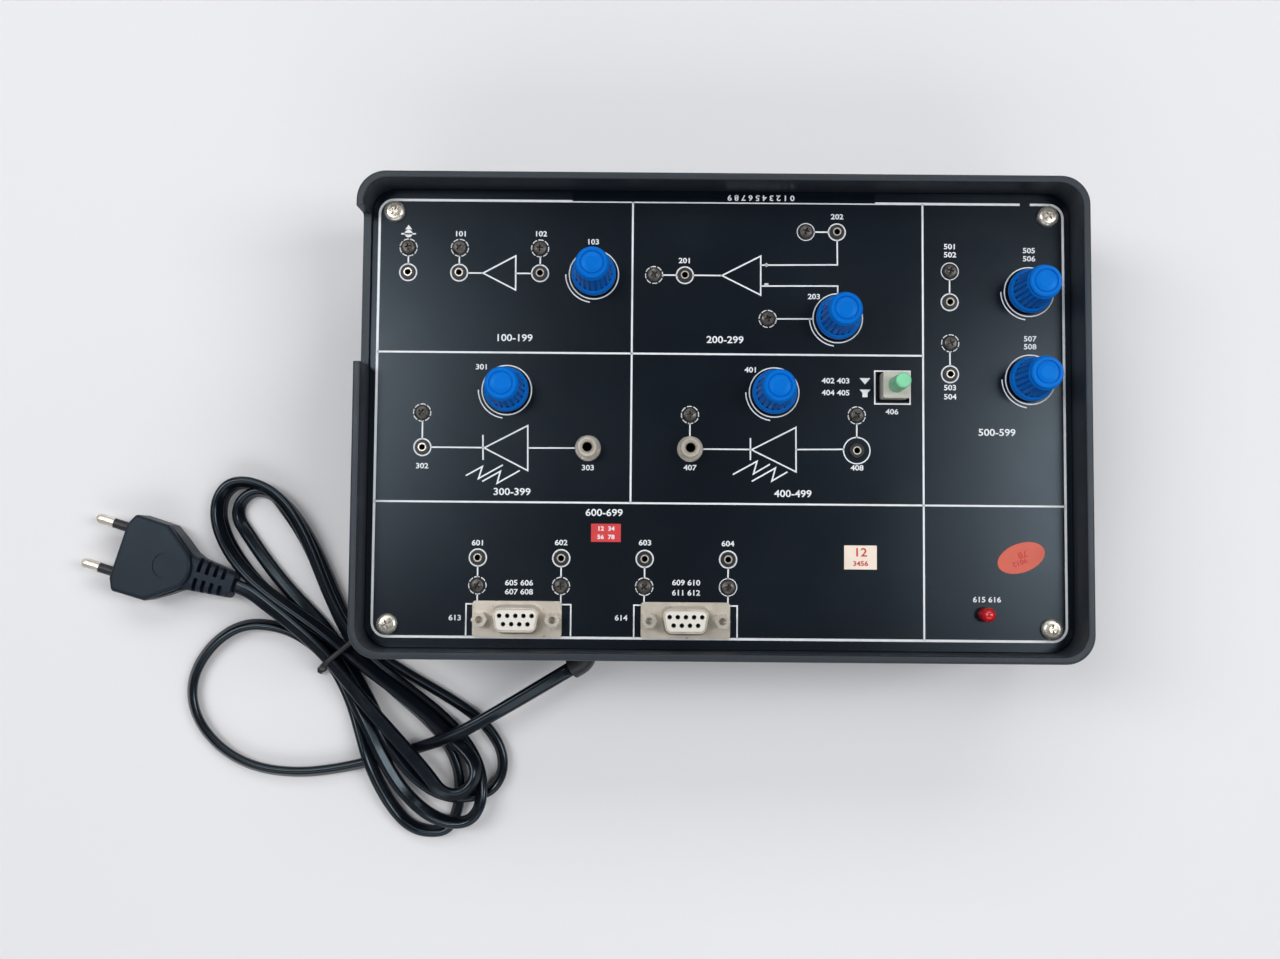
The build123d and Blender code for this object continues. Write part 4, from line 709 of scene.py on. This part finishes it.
# Rings round the knobs, sockets and terminals
KNOB_RING = (8.65, 0.4)
KNOB_ARC = (9.9, 0.4, 180, 262)
SOCKET_RING = (2.92, 0.5)
WIDE_RING = (4.6, 0.42)
TERMINAL_RING = (3.0, 0.34)
TERMINAL_DASHES = (3.0, 0.36)
PLAIN_EVERY = 5
rings = bmesh.new()
for x, y in KNOBS:
    ring(rings, x, y, *KNOB_RING)
    arc_r, arc_width, arc_from, arc_to = KNOB_ARC
    ribbon(rings, arc_points(x, y, arc_r, arc_from, arc_to), arc_width)
for x, y in SOCKETS:
    ring(rings, x, y, *SOCKET_RING)
ring(rings, *WIDE_SOCKET, *WIDE_RING)
for i, (x, y) in enumerate(TERMINALS):
    if i % PLAIN_EVERY == PLAIN_EVERY - 1:
        ring(rings, x, y, *TERMINAL_RING)
    else:
        dashed_ring(rings, x, y, *TERMINAL_DASHES, dashes=8, fill=0.78, turn=11.0 * i)

# Plain numbers: text and place. Sizes are the height of a figure.
CAP_SHARE = 0.73
TITLE_CAP = 2.5
MARK_CAP = 1.9
PRINT_LIFT = 0.02
TITLES = [
    ("100-199", -72.2, 27.7), ("200-299", 1.6, 27.6), ("300-399", -72.2, -26.2),
    ("400-499", 25.4, -26.1), ("500-599", 96.4, -4.2), ("600-699", -40.1, -33.2),
]
MARKS = [
    ("101", -91.4, 64.4), ("102", -63.3, 64.6), ("103", -44.9, 61.9), ("201", -12.6, 55.5),
    ("202", 40.8, 71.5), ("203", 32.7, 43.1), ("301", -83.3, 17.4), ("302", -103.6, -17.4),
    ("303", -45.9, -17.6), ("401", 10.7, 17.1), ("402 403", 40.3, 13.5),
    ("404 405", 40.3, 9.3), ("406", 59.9, 2.8), ("407", -10.4, -17.3), ("408", 47.7, -16.9),
    ("501", 80.4, 61.2), ("502", 80.4, 58.3), ("503", 80.2, 11.4), ("504", 80.2, 8.2),
    ("505", 108.1, 60.0), ("506", 108.1, 57.1), ("507", 108.2, 28.8), ("508", 108.2, 26.0),
    ("601", -83.7, -44.0), ("602", -54.9, -43.7), ("603", -25.8, -43.5), ("604", 2.9, -43.6),
    ("605 606", -69.3, -57.7), ("607 608", -69.3, -60.8), ("609 610", -11.5, -57.2),
    ("611 612", -11.5, -60.7), ("613", -91.3, -69.9), ("614", -33.9, -69.5),
    ("615 616", 92.5, -62.2),
]
# Figures on the title strip and the labels: text, place, height of a figure and turn
STICKERS = [
    ("figures_white", "print_white", "label_white", [
        ("12  34", -39.4, -38.7, 1.5, 0), ("56  78", -39.4, -41.6, 1.5, 0),
        ("0 1 2 3 4 5 6 7 8 9", 14.0, 78.1, 2.0, 180),
    ]),
    ("figures_red", "ink_red", "label_red", [
        ("12", 48.8, -46.3, 3.0, 0), ("3456", 48.8, -50.1, 1.7, 0),
        ("78", 104.9, -46.4, 2.2, 200), ("9012", 103.9, -49.2, 1.7, 200),
    ]),
]
STICKER_T = 0.2
WIDTH_SHARE = 1.15


def add_number(bm, text, x, y, z, cap, turn=0.0, bold=0.055):
    """Plain figures centred on a point, as thin raised print."""
    curve = bpy.data.curves.new("figures", "FONT")
    curve.body = text
    curve.size = cap / CAP_SHARE * MM
    curve.align_x = "CENTER"
    curve.align_y = "CENTER"
    curve.offset = bold * MM
    curve.extrude = PRINT_LIFT * MM
    curve.resolution_u = 3
    holder = bpy.data.objects.new("figures", curve)
    bpy.context.scene.collection.objects.link(holder)
    bpy.context.view_layer.update()
    mesh = bpy.data.meshes.new_from_object(holder)
    place = Matrix.Translation(mm(x, y, z)) @ Matrix.Rotation(math.radians(turn), 4, "Z")
    mesh.transform(place @ Matrix.Diagonal((WIDTH_SHARE, 1, 1, 1)))
    bm.from_mesh(mesh)
    bpy.data.objects.remove(holder)
    bpy.data.curves.remove(curve)
    bpy.data.meshes.remove(mesh)


figures = bmesh.new()
for text, x, y in TITLES:
    add_number(figures, text, x, y, PANEL_Z + PRINT_LIFT, TITLE_CAP)
for text, x, y in MARKS:
    add_number(figures, text, x, y, PANEL_Z + PRINT_LIFT, MARK_CAP)
for name, bm in (("print_lines", lines), ("print_symbols", symbols), ("print_rings", rings),
                 ("print_figures", figures)):
    piece(name, bm, "print_white")
for name, ink, slot, items in STICKERS:
    bm = bmesh.new()
    for text, x, y, cap, turn in items:
        add_number(bm, text, x, y, PANEL_Z + STICKER_T + 0.01, cap, turn)
    piece(name, bm, ink)

# Painted shade inside the sockets' and the receptacles' bores, as thin dark cups: radius, top, bottom and
# places
SHADE_CUP_WALL = 0.05
SHADE_CUP_BASE = 0.1
SHADE_CUPS = (
    (1.04, PANEL_Z + 0.75, PANEL_Z - 9.0, SOCKETS + [WIDE_SOCKET]),
    (1.58, PANEL_Z + 7.6, PANEL_Z - 2.0, RECEPTACLES),
)
bores = bmesh.new()
for r, top, low, places in SHADE_CUPS:
    inner = r - SHADE_CUP_WALL
    wall = [(0, low), (r, low), (r, top), (inner, top), (inner, low + SHADE_CUP_BASE),
            (0, low + SHADE_CUP_BASE)]
    for x, y in places:
        lathe(bores, wall, steps=24, x=x, y=y)
# The dark cups paint the shade in the bores
piece("bore_shade_cups", bores, "bore_painted_shade")

# Cross-recessed screw heads with their shanks
SHANK_R = 1.45
SHANK_CHAMFER = 0.3
DOME_SHARE = 0.62
DOME_RISE = 0.55
DOME_PULL = 1.1
DOME_STEPS = 5


def head_profile(head_r, head_h, length):
    """Half outline of a pan-head screw seated on the panel, from its tip to its top."""
    low = PANEL_Z
    top = PANEL_Z + head_h
    dome = head_h * DOME_SHARE
    profile = [(0, low - length), (SHANK_R - SHANK_CHAMFER, low - length),
               (SHANK_R, low - length + 0.4), (SHANK_R, low), (head_r - 0.15, low),
               (head_r, low + 0.15), (head_r, top - dome)]
    for i in range(1, DOME_STEPS + 1):
        a = math.pi / 2 * i / DOME_STEPS
        profile.append((head_r - dome * (1 - math.cos(a)) * DOME_PULL,
                        top - dome + head_h * DOME_RISE * math.sin(a)))
    return profile + [(head_r * 0.35, top), (0, top)]


def cross_cutter(top, bottom, reach):
    """Plus-shaped prism that narrows downwards, to cut a cross recess."""
    cutter = bmesh.new()
    layers = []
    for z, arm_reach, half in ((top, reach, reach * 0.17), (bottom, reach * 0.42, reach * 0.12)):
        arm = [(arm_reach, -half), (arm_reach, half), (half, half)]
        points = [(x * c - y * s, x * s + y * c)
                  for c, s in ((1, 0), (0, 1), (-1, 0), (0, -1)) for x, y in arm]
        layers.append([cutter.verts.new(mm(x, y, z)) for x, y in points])
    skin(cutter, layers, len(layers[0]))
    return cutter


def screw_mesh(head_r, head_h, length, recess):
    """Pan-head screw with a cross recess and a plain shank."""
    body = bmesh.new()
    lathe(body, head_profile(head_r, head_h, length))
    top = PANEL_Z + head_h
    return cut(body, cross_cutter(top + 0.4, top - head_h * DOME_SHARE, recess))


SCREW_X = 114.6
SCREW_Y = 72.1
PANEL_SCREWS = [(x * SCREW_X, y * SCREW_Y) for x in (-1, 1) for y in (-1, 1)]
# New piece, node it replaces, places, mesh, finish, first turn and turn from one to the next
SCREW_KINDS = (
    ("cross_screws", "panel_screws", PANEL_SCREWS, screw_mesh(3.6, 2.3, 14.0, 2.0),
     "screw_silver", 27.0, 33.0),
    ("terminal_heads", "terminal_screws", TERMINALS, screw_mesh(2.6, 1.8, 16.8, 1.5),
     "screw_dark", 12.0, 37.0),
)
for name, node_name, places, mesh, material, start, step in SCREW_KINDS:
    bm = bmesh.new()
    for i, (x, y) in enumerate(places):
        placed(bm, mesh, x, y, start + step * i)
    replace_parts(piece(name, bm, material), node_name)
    bpy.data.meshes.remove(mesh)

# Thread on the barrels of the fibre receptacles
THREAD_PITCH = 0.75
THREAD_FROM = PANEL_Z + 2.7
THREAD_TO = PANEL_Z + 7.4
BARREL_R = 3.0
ROOT_R = 3.19
CREST_R = 3.45
threads = bmesh.new()
for x, y in RECEPTACLES:
    profile = [(BARREL_R, THREAD_FROM - 0.05)]
    z = THREAD_FROM
    while z < THREAD_TO:
        profile += [(ROOT_R, z), (CREST_R, z + THREAD_PITCH * 0.35),
                    (CREST_R, z + THREAD_PITCH * 0.5), (ROOT_R, z + THREAD_PITCH * 0.85)]
        z += THREAD_PITCH
    profile.append((BARREL_R, z))
    profile.append(profile[0])
    lathe(threads, profile, x=x, y=y)
bmesh.ops.remove_doubles(threads, verts=threads.verts, dist=1e-6)
piece("receptacle_threads", threads, "nickel")


# Pale floor that rises to a wall all round, well clear of the object
def stage_material():
    """Plain pale paint."""
    mat = bpy.data.materials.new("floor")
    mat.use_nodes = True
    tree = mat.node_tree
    bsdf = tree.nodes["Principled BSDF"]
    coords = tree.nodes.new("ShaderNodeTexCoord")
    tint = spread(tree, noise(tree, coords.outputs["Object"], 2.0), 0.0, 1.0)
    tree.links.new(blend_colors(tree, tint, (0.80, 0.80, 0.82), (0.83, 0.83, 0.85)),
                   bsdf.inputs["Base Color"])
    bsdf.inputs["Roughness"].default_value = 0.8
    bsdf.inputs["Specular IOR Level"].default_value = 0.2
    return mat


FLOOR_MID = 500.0
FLOOR_R = 2400.0
WALL_BEND = 800.0
WALL_TOP = 1700.0
BEND_STEPS = 8
floor_bm = bmesh.new()
profile = [(0, 0), (FLOOR_MID, 0), (FLOOR_R, 0)]
for i in range(1, BEND_STEPS + 1):
    a = math.pi / 2 * i / BEND_STEPS
    profile.append((FLOOR_R + WALL_BEND * math.sin(a), WALL_BEND * (1 - math.cos(a))))
profile.append((FLOOR_R + WALL_BEND, WALL_TOP))
lathe(floor_bm, profile, steps=64)
bmesh.ops.recalc_face_normals(floor_bm, faces=floor_bm.faces)
floor_mesh = bpy.data.meshes.new("floor")
floor_bm.to_mesh(floor_mesh)
floor_bm.free()
floor_mesh.shade_smooth()
floor_mesh.materials.append(stage_material())
floor = bpy.data.objects.new("floor", floor_mesh)
bpy.context.scene.collection.objects.link(floor)


# Large soft lamps aimed at the middle: place, size and watts
LAMPS = {
    "back": ((0.0, 1.15, 1.2), (1.8, 0.6), 8.2),
    "front": ((0.0, -1.25, 1.15), (2.2, 0.9), 8.2),
    "right": ((0.90, 0.06, 1.25), (0.45, 0.9), 8.4),
    "left": ((-0.78, 0.25, 1.3), (0.4, 0.9), 7.7),
}
SKY_COLOR = (0.93, 0.96, 1.0, 1)
SKY_STRENGTH = 0.16


def area_light(name, place, size, power):
    """Rectangular lamp aimed at the middle of the object."""
    data = bpy.data.lights.new(name, "AREA")
    data.shape = "RECTANGLE"
    data.size, data.size_y = size
    data.energy = power
    obj = bpy.data.objects.new(name, data)
    obj.location = place
    obj.rotation_euler = (-Vector(place)).to_track_quat("-Z", "Y").to_euler()
    bpy.context.scene.collection.objects.link(obj)


for lamp_name, (place, size, power) in LAMPS.items():
    area_light(lamp_name, place, size, power)

world = bpy.data.worlds.new("world")
bpy.context.scene.world = world
world.use_nodes = True
sky = world.node_tree.nodes["Background"]
sky.inputs["Color"].default_value = SKY_COLOR
sky.inputs["Strength"].default_value = SKY_STRENGTH
